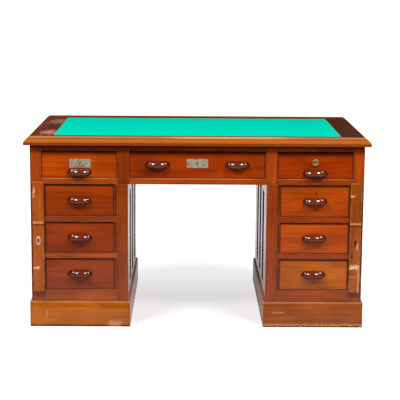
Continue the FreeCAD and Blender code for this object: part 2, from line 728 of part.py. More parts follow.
def make_doors():
    """The two rear cupboard doors with their hinges. Returns the fixed hinge halves."""
    fixed_halves = []
    pivot_y = HALF_D + PIN_SETBACK
    for side in (-1, 1):
        inner = HALF_KNEE + PEDESTAL_STILE + DOOR_GAP
        outer = HALF_W - PEDESTAL_STILE - DOOR_GAP
        x = sorted((side * inner, side * outer))
        z = (BOTTOM_RAIL_TOP + DOOR_GAP, PEDESTAL_TOP - 2 * DOOR_GAP)
        save("cupboard_door_" + NAMES[side], door_pieces(x, z, side))
        pivot_x = side * (outer + DOOR_GAP / 2)
        moving_halves = []
        for level in DOOR_HINGE_LEVELS:
            on_stile = (pivot_x + side * DOOR_GAP, pivot_x + side * KNUCKLE_HALF)
            on_door = (pivot_x - side * DOOR_GAP, pivot_x - side * KNUCKLE_HALF)
            foot_y = (HALF_D, pivot_y)
            fixed, moving = hinge((pivot_x, pivot_y), level, (on_stile, foot_y), (on_door, foot_y))
            fixed_halves.append(fixed)
            moving_halves.append(moving)
        save("door_hinge_" + NAMES[side], moving_halves)
    return fixed_halves


os.makedirs("parts", exist_ok=True)
make_top()
make_frieze()
make_pedestals()
make_runners()
make_drawers()
make_locks()
save("fixed_hinge_halves", make_flaps() + make_doors())
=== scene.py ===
import bmesh
import bpy
import json
import math
import random
from mathutils import Matrix, Vector


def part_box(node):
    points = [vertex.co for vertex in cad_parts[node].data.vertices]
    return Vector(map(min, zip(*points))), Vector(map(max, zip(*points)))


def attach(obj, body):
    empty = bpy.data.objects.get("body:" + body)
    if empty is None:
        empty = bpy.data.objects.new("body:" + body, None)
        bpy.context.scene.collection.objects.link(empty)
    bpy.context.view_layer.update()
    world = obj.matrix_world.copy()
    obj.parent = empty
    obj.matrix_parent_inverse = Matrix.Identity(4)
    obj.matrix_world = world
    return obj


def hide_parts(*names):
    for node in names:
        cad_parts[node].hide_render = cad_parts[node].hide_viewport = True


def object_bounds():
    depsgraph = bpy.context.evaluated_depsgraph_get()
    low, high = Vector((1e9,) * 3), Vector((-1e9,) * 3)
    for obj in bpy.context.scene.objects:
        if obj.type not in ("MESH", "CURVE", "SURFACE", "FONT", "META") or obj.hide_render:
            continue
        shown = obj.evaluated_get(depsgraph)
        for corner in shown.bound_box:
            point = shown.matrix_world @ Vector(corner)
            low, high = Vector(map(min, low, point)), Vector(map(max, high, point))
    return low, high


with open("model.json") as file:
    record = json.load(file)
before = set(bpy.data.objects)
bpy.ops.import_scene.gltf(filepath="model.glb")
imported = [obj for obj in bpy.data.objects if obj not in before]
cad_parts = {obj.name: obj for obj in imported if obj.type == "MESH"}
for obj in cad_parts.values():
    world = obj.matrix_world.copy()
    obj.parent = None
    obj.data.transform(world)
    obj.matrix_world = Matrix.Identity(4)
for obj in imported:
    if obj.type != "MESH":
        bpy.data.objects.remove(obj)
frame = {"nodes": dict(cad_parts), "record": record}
CAD_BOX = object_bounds()
TOP_Z = CAD_BOX[1][2]
PEDESTAL_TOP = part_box("pedestal_left_front_frame")[1][2]

bl_info = {
    "name": "Pedestal writing desk",
    "version": (1, 0, 0),
    "blender": (4, 5, 0),
    "location": "3D Viewport > Sidebar > Desk",
    "description": "Dresses a pedestal writing desk in mahogany, baize, nickel and brass",
    "category": "Object",
}

# The angles past which an edge shades sharp, two faces stop being one flat, and an edge is an arris
SMOOTH_ANGLE = math.radians(21.5)
FLAT_ANGLE = math.radians(0.6)
ARRIS_ANGLE = math.radians(35)
# In metres: two points nearer than this are level with each other
SMALLEST = 1e-5


# ---------------------------------------------------------------- settings


def colour(name, text, default):
    return bpy.props.FloatVectorProperty(
        name=name, description=text, subtype="COLOR", size=3, min=0, max=1, default=default
    )


def length(name, text, default):
    return bpy.props.FloatProperty(
        name=name, description=text, unit="LENGTH", subtype="DISTANCE", default=default
    )


def amount(name, text, default):
    return bpy.props.FloatProperty(
        name=name, description=text, subtype="FACTOR", min=0, max=1, default=default
    )


def power(name, text, default):
    return bpy.props.FloatProperty(name=name, description=text, unit="POWER", min=0, default=default)


class FinishSettings(bpy.types.PropertyGroup):
    carcase: colour("Carcase", "Frames, stiles and rails", (0.32, 0.044, 0.003))
    front: colour("Drawer fronts", "The figured wood of the drawer fronts", (0.36, 0.046, 0.003))
    border: colour("Top border", "The border round the writing surface", (0.044, 0.010, 0.005))
    pull: colour("Pulls", "The turned cup pulls", (0.11, 0.016, 0.004))
    flap: colour("Flaps", "The locking flaps", (0.39, 0.078, 0.005))
    plinth: colour("Plinths", "The left plinth, scuffed and yellower than the right", (0.41, 0.096, 0.002))
    lining: colour("Lining", "Drawer sides and inner boards", (0.46, 0.27, 0.12))
    worn: colour("Worn wood", "Wood where the polish has rubbed away", (0.50, 0.17, 0.055))
    baize: colour("Baize", "The woollen cloth of the writing surface", (0.0, 0.40, 0.28))
    nickel: colour("Nickel", "Lock plates and escutcheon", (0.78, 0.66, 0.47))
    brass: colour("Brass", "The cylinder lock", (0.50, 0.28, 0.12))
    wear: amount("Wear", "How far the arrises have rubbed pale", 0.35)


class SizeSettings(bpy.types.PropertyGroup):
    arris: length("Arris", "How far a board's edges are rubbed round", 0.0009)
    front_arris: length("Front arris", "How far a drawer front's edges are rubbed round", 0.0012)
    plinth_arris: length("Plinth arris", "How far a plinth's edges are rubbed round", 0.0018)
    pull_width: length("Pull width", "Width of a cup pull across the drawer", 0.1)
    pull_reach: length("Pull reach", "How far a cup pull stands off the drawer", 0.03)
    bead_width: length("Bead width", "Width of the moulded bead round a panel", 0.01)
    bead_height: length("Bead height", "Height of the moulded bead round a panel", 0.007)
    pin_radius: length("Pin radius", "Radius of a plate's fixing pins", 0.0018)
    pin_inset: length("Pin inset", "How far the pins stand from a plate's edges", 0.0045)
    baize_dip: length("Baize dip", "How far the cloth sinks at its edge", 0.0005)


class StageSettings(bpy.types.PropertyGroup):
    front_lamp: power("Front lamps", "Power of the two softboxes in front", 106.0)
    side_lamp: power("Side lamps", "Power of the two high softboxes at the sides", 60.0)
    room: amount("Room light", "Brightness of the room around the desk", 0.25)
    lit_floor: amount("Floor glow", "How much the floor is lifted to white for the camera", 0.60)


def sizes():
    return bpy.context.scene.desk_sizes


# ---------------------------------------------------------------- boards


def closed_solids(node):
    """The separate closed solids of a CAD node, each a list of faces with their corner points."""
    mesh = frame["nodes"][node].data
    points = [tuple(round(c, 6) for c in v.co) for v in mesh.vertices]
    solids = []
    faces = []
    unmatched = {}
    for polygon in mesh.polygons:
        corners = [points[i] for i in polygon.vertices]
        if len(set(corners)) < 3:
            continue
        faces.append(corners)
        for a, b in zip(corners, corners[1:] + corners[:1]):
            if unmatched.get((b, a)):
                unmatched[(b, a)] -= 1
                if not unmatched[(b, a)]:
                    del unmatched[(b, a)]
            else:
                unmatched[(a, b)] = unmatched.get((a, b), 0) + 1
        if not unmatched:
            solids.append(faces)
            faces = []
    if faces:
        raise ValueError(node + " has a solid that isn't closed")
    return solids


def limits(points):
    low = Vector(min(p[k] for p in points) for k in range(3))
    high = Vector(max(p[k] for p in points) for k in range(3))
    return low, high


def solid_limits(faces):
    return limits([point for corners in faces for point in corners])


def board(faces, arris):
    """A mesh of one solid with flat faces joined up and its outer edges rubbed round."""
    bm = bmesh.new()
    made = {}
    for corners in faces:
        for point in corners:
            if point not in made:
                made[point] = bm.verts.new(point)
        bm.faces.new([made[point] for point in corners])
    bmesh.ops.dissolve_limit(bm, angle_limit=FLAT_ANGLE, verts=bm.verts, edges=bm.edges)
    low, high = limits([v.co for v in bm.verts])

    def sides(point):
        """Which outer sides of the solid a point is on."""
        ends = [(k, end) for k in range(3) for end in (low, high)]
        return {n for n, (k, end) in enumerate(ends) if abs(point[k] - end[k]) < SMALLEST}

    outer = []
    for edge in bm.edges:
        shared = sides(edge.verts[0].co) & sides(edge.verts[1].co)
        if len(shared) >= 2 and len(edge.link_faces) == 2 and edge.calc_face_angle(0) > ARRIS_ANGLE:
            outer.append(edge)
    if arris and outer:
        bmesh.ops.bevel(
            bm, geom=outer, offset=arris, segments=2, profile=0.5, affect="EDGES", clamp_overlap=True
        )
    return bm


PLAIN = (1.0, 1.0, 1.0)
GRAIN_SHIFT = 40
LIGHT_SPREAD = 0.35
WARM_SPREAD = 0.2


def mark_board(bm, chance, stain=PLAIN, spread=0.5):
    """Stores each board's own grain: place is the point from its middle, along, across and through it.

    stain multiplies the wood's colour, and is a colour or gives one for the board's middle. spread is
    how far the board's own lightness and warmth stray."""
    low, high = limits([v.co for v in bm.verts])
    size = high - low
    order = sorted(range(3), key=lambda k: -size[k])
    middle = (low + high) / 2
    layers = bm.verts.layers.float_vector
    stores = {name: layers.new(name) for name in ("place", "half", "shift", "stain")}
    shift = Vector(chance.uniform(-GRAIN_SHIFT, GRAIN_SHIFT) for _ in range(3))
    light = 1 + LIGHT_SPREAD * chance.uniform(-spread, spread)
    warm = light * (1 + WARM_SPREAD * chance.uniform(-spread, spread))
    red, green, blue = stain(middle) if callable(stain) else stain
    for v in bm.verts:
        away = v.co - middle
        v[stores["place"]] = Vector(away[k] for k in order)
        v[stores["half"]] = Vector(size[k] / 2 for k in order)
        v[stores["shift"]] = shift
        v[stores["stain"]] = (red * light, green * warm, blue * warm)


def join(parts):
    """One mesh from several, keeping what mark_board stored."""
    bm = bmesh.new()
    for part in parts:
        mesh = bpy.data.meshes.new("part")
        part.to_mesh(mesh)
        part.free()
        bm.from_mesh(mesh)
        bpy.data.meshes.remove(mesh)
    return bm


def make_object(name, bm, material):
    mesh = bpy.data.meshes.new(name)
    bm.to_mesh(mesh)
    bm.free()
    mesh.shade_smooth()
    mesh.set_sharp_from_angle(angle=SMOOTH_ANGLE)
    mesh.materials.append(bpy.data.materials[material])
    piece = bpy.data.objects.new(name, mesh)
    bpy.context.scene.collection.objects.link(piece)
    return piece


def node_facts():
    """The body and the material slot of each CAD node."""
    record = frame["record"]
    body = {n: b for b, nodes in record["behaviour"]["bodies"].items() for n in nodes}
    slot = {s["node"]: s["material_slot"] for s in record["subparts"]}
    return body, slot


BODY, SLOT = node_facts()


def node_box(node):
    """The lowest corner, the middle and the highest corner of a CAD node."""
    low, high = (Vector(p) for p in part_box(node))
    return low, (low + high) / 2, high


def seat(piece, node, replaces=False):
    """Makes a piece ride with a CAD node, and stand in for it where asked."""
    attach(piece, BODY[node])
    if replaces:
        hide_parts(node)


def marked(seed, solids, arris, stain=PLAIN, spread=0.5):
    """One mesh of some solids, each with its own stretch of grain and its own stain."""
    chance = random.Random(seed)
    parts = []
    for faces in solids:
        part = board(faces, arris)
        mark_board(part, chance, stain, spread)
        parts.append(part)
    return join(parts)


def dress(node, material, arris, stain=PLAIN, spread=0.5, keep=lambda n: True):
    """Stands in for a node with its boards, less those that keep turns down by their number."""
    solids = [faces for n, faces in enumerate(closed_solids(node)) if keep(n)]
    piece = make_object(node + "_dressed", marked(node, solids, arris, stain, spread), material)
    seat(piece, node, replaces=True)


# ---------------------------------------------------------------- turned pieces


def fill_grid(bm, rows, closed, caps=False):
    """Faces between rows of vertices, turned outwards. closed joins each row's end to its start, and
    caps covers the first and the last row."""
    count = len(rows[0])
    for low, high in zip(rows, rows[1:]):
        for n in range(count if closed else count - 1):
            m = (n + 1) % count
            bm.faces.new((low[n], low[m], high[m], high[n]))
    if caps:
        bm.faces.new(rows[0])
        bm.faces.new(rows[-1])
    bmesh.ops.recalc_face_normals(bm, faces=bm.faces)


def turned(bm, profile, steps, place, out, ring=False):
    """Turns a profile of (radius, reach) points about an axis from place along out, a unit vector.

    A ring's profile is a loop, and the ends of any other are capped."""
    side = out.orthogonal().normalized()
    up = out.cross(side)
    turns = [math.tau * n / steps for n in range(steps)]
    spokes = [side * math.cos(a) + up * math.sin(a) for a in turns]
    rows = []
    for radius, reach in profile:
        rows.append([bm.verts.new(place + out * reach + spoke * radius) for spoke in spokes])
    fill_grid(bm, rows + rows[:1] if ring else rows, closed=True, caps=not ring)


FORWARD = Vector((0, -1, 0))
BACKWARD = Vector((0, 1, 0))
PULL_PROFILE = (
    (14.0, 15.0), (12.0, 14.8), (10.0, 14.1), (8.0, 12.9), (6.0, 11.1), (4.2, 8.9), (2.6, 6.2), (1.2, 3.4),
    (0.3, 1.0), (0.0, -1.2), (0.5, -3.4), (1.8, -5.6), (4.0, -7.8), (7.0, -9.9), (10.6, -11.9), (14.6, -13.7),
    (18.0, -14.9), (19.4, -14.9), (20.2, -13.6), (20.4, -9.0), (20.6, -2.0), (21.0, 1.6), (22.0, 3.8),
    (23.6, 5.0),
)
PULL_STEPS = 40
PULL_BACK = 0.010


def cup_pull():
    """A turned cup pull: a sloping roll round the greater part of half an oval, hollow below for fingers.

    PULL_PROFILE gives its section in millimetres, in from the rim and up from the middle. The
    drawer's face is y = 0, the pull's middle is the origin, and the oval's lies PULL_BACK behind it."""
    deepest = sizes().pull_reach + PULL_BACK
    widest = sizes().pull_width / 2 / math.sqrt(1 - (PULL_BACK / deepest) ** 2)
    bm = bmesh.new()
    rows = []
    for inset, height in PULL_PROFILE:
        wide, deep = widest - inset / 1000, deepest - inset / 1000
        reach = math.acos(PULL_BACK / deep)
        turns = [reach * (2 * n / PULL_STEPS - 1) for n in range(PULL_STEPS + 1)]
        plan = [(wide * math.sin(a), PULL_BACK - deep * math.cos(a)) for a in turns]
        rows.append([bm.verts.new((x, y, height / 1000)) for x, y in plan])
    bm.faces.new([row[0] for row in rows] + [row[-1] for row in reversed(rows)])
    fill_grid(bm, rows, closed=False, caps=True)
    return bm


# ---------------------------------------------------------------- copies by geometry nodes


def copies_tree():
    """Geometry nodes that set copies of a piece on an upright grid and give them their material."""
    tree = bpy.data.node_groups.new("Copies on a grid", "GeometryNodeTree")
    face = tree.interface
    for name, kind in (
        ("Piece", "Geometry"), ("Centre", "Vector"), ("Width", "Float"), ("Height", "Float"),
        ("Columns", "Int"), ("Rows", "Int"), ("Material", "Material"),
    ):
        face.new_socket(name, in_out="INPUT", socket_type="NodeSocket" + kind)
    face.new_socket("Pieces", in_out="OUTPUT", socket_type="NodeSocketGeometry")
    t = Tree(tree)
    given = t.node("NodeGroupInput").outputs
    grid = t.node(
        "GeometryNodeMeshGrid", Size_X=given["Width"], Size_Y=given["Height"],
        Vertices_X=given["Columns"], Vertices_Y=given["Rows"],
    )
    stood = t.node(
        "GeometryNodeTransform", Geometry=grid.outputs["Mesh"],
        Translation=given["Centre"], Rotation=(math.radians(90), 0.0, 0.0),
    )
    copies = t.node("GeometryNodeInstanceOnPoints", Points=stood.outputs[0], Instance=given["Piece"])
    real = t.node("GeometryNodeRealizeInstances", Geometry=copies.outputs[0])
    finished = t.node("GeometryNodeSetMaterial", Geometry=real.outputs[0], Material=given["Material"])
    t.node("NodeGroupOutput", Pieces=finished.outputs[0])
    return tree


def set_out(name, bm, material, centre, width=0.0, height=0.0, columns=1, rows=1):
    """Copies of one small mesh on an upright grid round centre, as one plain mesh."""
    tree = bpy.data.node_groups.get("Copies on a grid") or copies_tree()
    piece = make_object(name, bm, material)
    modifier = piece.modifiers.new("Copies", "NODES")
    modifier.node_group = tree
    values = {
        "Centre": centre, "Width": width, "Height": height, "Columns": columns, "Rows": rows,
        "Material": bpy.data.materials[material],
    }
    for socket in tree.interface.items_tree:
        if socket.name in values:
            modifier[socket.identifier] = values[socket.name]
    bpy.context.view_layer.update()
    placed = piece.evaluated_get(bpy.context.evaluated_depsgraph_get())
    mesh = bpy.data.meshes.new_from_object(placed)
    piece.modifiers.remove(modifier)
    piece.data = mesh
    mesh.name = name
    return piece


# ---------------------------------------------------------------- shader helpers


class Tree:
    """Adds nodes to a node tree and links them: a value is a socket, or what one holds, such as a number."""

    def __init__(self, tree):
        self.tree = tree

    def put(self, socket, value):
        if isinstance(value, bpy.types.NodeSocket):
            self.tree.links.new(value, socket)
        else:
            socket.default_value = value

    def node(self, kind, *values, settings=None, **inputs):
        """A node with its settings made, its first inputs filled in order and others by name."""
        node = self.tree.nodes.new(kind)
        for name, value in (settings or {}).items():
            setattr(node, name, value)
        for socket, value in zip(node.inputs, values):
            self.put(socket, value)
        for name, value in inputs.items():
            self.put(node.inputs[name.replace("_", " ")], value)
        return node

    def use(self, group, **inputs):
        settings = {"node_tree": bpy.data.node_groups[group]}
        return self.node("ShaderNodeGroup", settings=settings, **inputs).outputs

    def math(self, operation, *values, clamp=False):
        settings = {"operation": operation, "use_clamp": clamp}
        return self.node("ShaderNodeMath", *values, settings=settings).outputs[0]

    def vector(self, operation, *values, output="Vector"):
        return self.node("ShaderNodeVectorMath", *values, settings={"operation": operation}).outputs[output]

    def ramp(self, value, low, high, out_low=0.0, out_high=1.0, shape="SMOOTHSTEP"):
        values = (value, low, high, out_low, out_high)
        return self.node("ShaderNodeMapRange", *values, settings={"interpolation_type": shape}).outputs[0]

    def mix(self, factor, a, b, blend="MIX"):
        node = self.node("ShaderNodeMix", factor, settings={"data_type": "RGBA", "blend_type": blend})
        self.put(node.inputs[6], a)
        self.put(node.inputs[7], b)
        return node.outputs[2]

    def noise(self, vector, scale, detail, rough, distortion=0.0):
        return self.node(
            "ShaderNodeTexNoise", Vector=vector, Scale=scale, Detail=detail, Roughness=rough,
            Distortion=distortion,
        ).outputs["Fac"]

    def attribute(self, name, output="Vector"):
        return self.node("ShaderNodeAttribute", settings={"attribute_name": name}).outputs[output]

    def coordinates(self):
        return self.node("ShaderNodeTexCoord").outputs["Object"]

    def parts(self, vector):
        """The X, Y and Z of a vector."""
        return self.node("ShaderNodeSeparateXYZ", Vector=vector).outputs

    def rest(self, mask):
        """What a mask leaves."""
        return self.math("SUBTRACT", 1.0, mask)

    def bump(self, height, distance, strength):
        return self.node("ShaderNodeBump", Height=height, Distance=distance, Strength=strength).outputs[0]

    def surface(self, **inputs):
        """The material's shader with its inputs filled by name."""
        shader = self.node("ShaderNodeBsdfPrincipled", **inputs)
        self.node("ShaderNodeOutputMaterial", Surface=shader.outputs[0])


def rgb(values):
    return (*values, 1.0)


def grey(value):
    return rgb((value, value, value))


def scaled(values, factor):
    factors = factor if isinstance(factor, tuple) else (factor,) * 3
    return tuple(min(1.0, v * f) for v, f in zip(values, factors))


def new_group(name, inputs, outputs):
    """A shader node group of numbers. inputs map names to defaults, and outputs are names."""
    group = bpy.data.node_groups.new(name, "ShaderNodeTree")
    face = group.interface
    for label, default in inputs.items():
        face.new_socket(label, in_out="INPUT", socket_type="NodeSocketFloat").default_value = default
    for label in outputs:
        face.new_socket(label, in_out="OUTPUT", socket_type="NodeSocketFloat")
    given, out = group.nodes.new("NodeGroupInput").outputs, group.nodes.new("NodeGroupOutput").inputs
    return Tree(group), given, out


# ---------------------------------------------------------------- effects


def grain_group():
    """Straight-grained mahogany along each board: broad ribbons, lines, fine streaks and open pores."""
    t, given, out = new_group("Board grain", {"Figure": 1.0}, ("Tone", "Streak", "Height"))
    place = t.vector("ADD", t.attribute("place"), t.attribute("shift"))

    def grain(along, across, detail, rough, distortion=0.0):
        """Noise drawn out along the board. along and across are about how often it changes in a metre."""
        drawn = t.vector("MULTIPLY", place, (along, across, across))
        return t.noise(drawn, 1.0, detail, rough, distortion)

    ribbon = grain(2.2, 16.0, 2.0, 0.5, 0.6)
    cloud = grain(6.0, 11.0, 2.0, 0.5)
    lines = grain(3.5, 130.0, 3.0, 0.6, 0.3)
    streak = grain(7.0, 190.0, 4.0, 0.62)
    pore = t.ramp(grain(60.0, 1100.0, 2.0, 0.5), 0.62, 0.72)
    tone = 0.0
    for part, weight in ((ribbon, 1.1), (cloud, 1.3), (lines, 0.85)):
        tone = t.math("MULTIPLY_ADD", t.math("SUBTRACT", part, 0.5), weight, tone)
    t.put(out["Tone"], t.math("MULTIPLY_ADD", tone, given["Figure"], 0.5, clamp=True))
    t.put(out["Streak"], t.math("MULTIPLY", t.ramp(streak, 0.4, 0.72), given["Figure"]))
    t.put(out["Height"], t.math("SUBTRACT", t.math("MULTIPLY", streak, 0.3), t.math("MULTIPLY", pore, 0.7)))


# How many wear widths the soft edge darkening reaches, partly dirt and partly painted shade in gaps
DIRT_AND_SHADE_WIDTHS = 3.5
# The drop down a drawer front over which its painted shade deepens
FRONT_DEPTH = 0.13


def edge_group():
    """How near a point is to its board's edges. Rubbed is patchy, narrow wear, and the soft, wider edge
    mask is partly dirt and partly painted shade in the gaps round a board.

    The upper-edge mask is painted shade along a board's upper edge, over Reach, as if the rail or top
    above shaded it, and the lower mask is painted shade that deepens down the front."""
    t, given, out = new_group(
        "Board edge", {"Width": 0.002, "Reach": 0.01}, ("Rubbed", "Grime", "Upper", "Lower")
    )
    place, half = t.attribute("place"), t.attribute("half")
    inset = t.parts(t.vector("SUBTRACT", half, t.vector("ABSOLUTE", place)))
    low = t.math("MINIMUM", inset[0], inset[1])
    high = t.math("MAXIMUM", inset[0], inset[1])
    second = t.math("MAXIMUM", low, t.math("MINIMUM", high, inset[2]))
    patch = t.noise(t.vector("ADD", place, t.attribute("shift")), 22.0, 4.0, 0.65)
    rub = t.math("MULTIPLY", given["Width"], t.ramp(patch, 0.3, 0.75, 0.3, 1.8))
    grime = t.math("MULTIPLY", given["Width"], DIRT_AND_SHADE_WIDTHS)
    above = t.parts(t.vector("SUBTRACT", half, place))[1]
    t.put(out["Rubbed"], t.rest(t.ramp(t.math("DIVIDE", second, rub), 0.4, 1.0)))
    t.put(out["Grime"], t.rest(t.ramp(second, 0.0, grime)))
    t.put(out["Upper"], t.rest(t.ramp(above, 0.0, given["Reach"])))
    t.put(out["Lower"], t.ramp(above, 0.0, FRONT_DEPTH, shape="LINEAR"))


FLECKS = 130.0
BLOTS = 35.0


def band_group():
    """A rough band across one axis of the object, such as a scar, a run of wear, or a painted shadow or
    highlight.
    """
    t, given, out = new_group(
        "Worn band", {"Value": 0.0, "Centre": 0.0, "Half width": 0.01, "Ragged": 0.5, "Scale": FLECKS},
        ("Mask",),
    )
    rough = t.math("SUBTRACT", t.noise(t.coordinates(), given["Scale"], 4.0, 0.7), 0.5)
    wander = t.math("MULTIPLY", rough, t.math("MULTIPLY", given["Ragged"], given["Half width"]))
    away = t.math("ADD", t.math("SUBTRACT", given["Value"], given["Centre"]), wander)
    share = t.math("DIVIDE", t.math("ABSOLUTE", away), given["Half width"])
    t.put(out["Mask"], t.rest(t.ramp(share, 0.6, 1.15)))


def scratch_group():
    """Short pale scratches that run slantwise, in patches."""
    t, given, out = new_group("Pale scratches", {"Amount": 1.0}, ("Mask",))
    coords = t.coordinates()
    slanted = t.node(
        "ShaderNodeMapping", Vector=coords, Rotation=(0.0, 0.6, 0.0), Scale=(70.0, 70.0, 700.0)
    ).outputs[0]
    lines = t.noise(slanted, 1.0, 2.0, 0.5, 0.4)
    patch = t.noise(coords, 26.0, 2.0, 0.5)
    mask = t.math("MULTIPLY", t.ramp(lines, 0.62, 0.70), t.ramp(patch, 0.50, 0.62))
    t.put(out["Mask"], t.math("MULTIPLY", mask, given["Amount"]))


SMOOTHEST = 0.08


def scuff_group():
    """Faint smears and dull spots in the polish."""
    t, given, out = new_group("Scuffed polish", {"Roughness": 0.3, "Amount": 1.0}, ("Roughness", "Spot"))
    coords = t.coordinates()
    smear = t.math("SUBTRACT", t.noise(coords, 14.0, 5.0, 0.6), 0.5)
    spot = t.ramp(t.noise(coords, 90.0, 3.0, 0.5), 0.66, 0.74)
    rough = t.math("MULTIPLY_ADD", smear, t.math("MULTIPLY", given["Amount"], 0.35), given["Roughness"])
    t.put(out["Roughness"], t.math("MAXIMUM", rough, SMOOTHEST))
    t.put(out["Spot"], t.math("MULTIPLY", spot, given["Amount"]))


# ---------------------------------------------------------------- materials


def new_material(name):
    material = bpy.data.materials.new(name)
    material.use_nodes = True
    material.node_tree.nodes.clear()
    return Tree(material.node_tree)


GRAIN_DARK = 0.62
GRAIN_LIGHT = 1.38


def wood(name, base, figure=1.0, rough=0.36, coat=0.55, gloss=0.0, edge=0.0014, wear=1.0, grime=0.35,
         upper=0.0, reach=0.01, lower=0.0, spots=0.0, scratches=0.0, scuff=0.6, relief=0.35, bands=()):
    """A polished wood. edge is how wide its arrises wear, reach how far below its upper edge the painted
    shade set by upper runs, and lower how strong the painted shade deepening down a front is.

    A band is a worn or stained place, or a painted shadow or highlight: its colour, its strength, and
    the runs that it lies within."""
    finish = bpy.context.scene.desk_finish
    t = new_material(name)
    grain = t.use("Board grain", Figure=figure)
    edges = t.use("Board edge", Width=edge, Reach=reach)
    scuffs = t.use("Scuffed polish", Roughness=rough, Amount=scuff)
    tint = t.mix(grain["Tone"], rgb(scaled(base, GRAIN_DARK)), rgb(scaled(base, GRAIN_LIGHT)))
    tint = t.mix(1.0, tint, t.attribute("stain", "Color"), "MULTIPLY")
    # Each mask that darkens the wood, its strength, and the share of the colour that it leaves: the soft
    # edge mask is partly dirt and partly painted shade, and the upper and lower ones are painted shade
    for mask, strength, share in (
        (grain["Streak"], 0.33, 0.42 * GRAIN_DARK),
        (edges["Grime"], grime, 0.16),
        (edges["Upper"], upper, 0.035),
        (edges["Lower"], lower, 0.3),
        (scuffs["Spot"], spots, 0.1),
    ):
        tint = t.mix(t.math("MULTIPLY", mask, strength), tint, rgb(scaled(base, share)))
    rubbed = t.math("MULTIPLY", edges["Rubbed"], wear * finish.wear)
    if scratches:
        scratched = t.math("MULTIPLY", t.use("Pale scratches", Amount=scratches)["Mask"], 0.7)
        rubbed = t.math("MAXIMUM", rubbed, scratched)
    tint = t.mix(rubbed, tint, rgb(finish.worn))
    coords = t.parts(t.coordinates())
    for shade, strength, *runs in bands:
        mask = strength
        for axis, stretch in runs:
            within = t.use("Worn band", Value=coords[axis], **stretch)["Mask"]
            mask = t.math("MULTIPLY", within, mask)
        tint = t.mix(mask, tint, rgb(shade))
        rubbed = t.math("MAXIMUM", rubbed, mask)
    t.surface(
        Base_Color=tint, Roughness=t.math("MULTIPLY_ADD", rubbed, 0.3, scuffs["Roughness"]),
        Coat_Weight=t.math("MULTIPLY", t.rest(rubbed), coat), Coat_Roughness=0.1,
        Specular_IOR_Level=gloss, Normal=t.bump(grain["Height"], 0.0004, relief),
    )


def metal(name, base, rough):
    """A rubbed metal with fine scratches and darker tarnish in patches."""
    t = new_material(name)
    coords = t.coordinates()
    scratches = t.noise(t.vector("MULTIPLY", coords, (500.0, 500.0, 2600.0)), 1.0, 3.0, 0.7)
    tarnish = t.noise(coords, 120.0, 4.0, 0.6)
    tone = t.mix(t.ramp(tarnish, 0.4, 0.7), rgb(scaled(base, 1.1)), rgb(scaled(base, 0.55)))
    tone = t.mix(t.math("MULTIPLY", t.ramp(scratches, 0.55, 0.7), 0.5), tone, rgb(scaled(base, 1.7)))
    t.surface(
        Base_Color=tone, Metallic=1.0, Roughness=t.math("MULTIPLY_ADD", scratches, 0.25, rough),
        Normal=t.bump(scratches, 0.0001, 0.3),
    )


THREADS_PER_METRE = 5200.0


def cloth(name, base):
    """Wool baize: a soft felted weave with a faint nap."""
    t = new_material(name)
    coords = t.coordinates()
    threads = [t.math("SINE", t.math("MULTIPLY", part, THREADS_PER_METRE)) for part in t.parts(coords)[:2]]
    fuzz = t.noise(coords, 1400.0, 3.0, 0.7)
    nap = t.math("SUBTRACT", t.noise(t.vector("MULTIPLY", coords, (3.0, 7.0, 3.0)), 1.0, 3.0, 0.5), 0.5)
    tone = t.math("MULTIPLY_ADD", nap, 0.5, t.math("MULTIPLY_ADD", fuzz, 0.3, 0.35))
    weave = t.math("MULTIPLY_ADD", t.math("MULTIPLY", *threads), 0.3, fuzz)
    t.surface(
        Base_Color=t.mix(tone, rgb(scaled(base, 0.88)), rgb(scaled(base, 1.14))),
        Roughness=t.math("MULTIPLY_ADD", fuzz, 0.1, 0.88), Specular_IOR_Level=0.0, Sheen_Weight=0.02,
        Sheen_Roughness=0.5, Sheen_Tint=rgb(scaled(base, 1.3)), Normal=t.bump(weave, 0.0003, 0.6),
    )


def dark_hole(name):
    """The unlit inside of a lock, seen through its keyhole."""
    t = new_material(name)
    dust = t.noise(t.coordinates(), 900.0, 3.0, 0.6)
    tone = t.mix(dust, rgb((0.004, 0.003, 0.002)), rgb((0.02, 0.013, 0.008)))
    t.surface(Base_Color=tone, Roughness=0.9, Specular_IOR_Level=0.05)


# ---------------------------------------------------------------- worn places


# Pale peach of the border's front board: faded wood and a painted pale sheen
PEACH_FADE_AND_SHEEN = (0.72, 0.34, 0.12)
ORANGE = (0.31, 0.076, 0.008)
LIP_RED = (0.28, 0.047, 0.006)
# Worn gold of a rail's arris, lightened as a painted highlight too
GOLD_WEAR_AND_GLINT = (0.62, 0.32, 0.11)
SCAR = (0.60, 0.27, 0.12)
CHIP = (0.75, 0.45, 0.28)
# Dark bruises, and the colour of painted shadow under the top, beside the flaps and at their feet
BRUISE_AND_SHADOW = (0.05, 0.012, 0.004)
OLIVE_STAIN = (0.22, 0.12, 0.07)
INK_STAIN = (0.03, 0.022, 0.020)
PINK_STAIN = (0.36, 0.17, 0.12)


def run(axis, centre, half, ragged=0.0, scale=FLECKS):
    """A stretch of an axis: its centre, half its length, how ragged its ends are, and the rags' scale."""
    return axis, {"Centre": centre, "Half_width": half, "Ragged": ragged, "Scale": scale}


def border_bands():
    """The border's orange ovolo, its redder lip and back, its front board, faded and with a painted pale
    sheen, and three stains on the left.
    """
    face = run("Z", TOP_Z, 0.0009)
    front = run("Y", -0.382, 0.040, 0.3)
    left = run("X", -0.610, 0.034, 4.5, BLOTS)
    return (
        (ORANGE, 0.9, run("Z", 0.7675, 0.0090)),
        (LIP_RED, 0.9, run("Z", 0.7535, 0.0055)),
        (PEACH_FADE_AND_SHEEN, 0.33, front, face),
        (PEACH_FADE_AND_SHEEN, 0.4, front, run("X", 0.12, 0.26, 1.0), face),
        (LIP_RED, 0.5, run("Y", 0.395, 0.040, 0.6), face),
        (OLIVE_STAIN, 0.65, left, run("Y", 0.17, 0.09, 3.5, BLOTS), face),
        (INK_STAIN, 0.85, left, run("Y", -0.04, 0.06, 4.0, BLOTS), face),
        (PINK_STAIN, 0.7, left, run("Y", -0.22, 0.07, 4.0, BLOTS), face),
    )


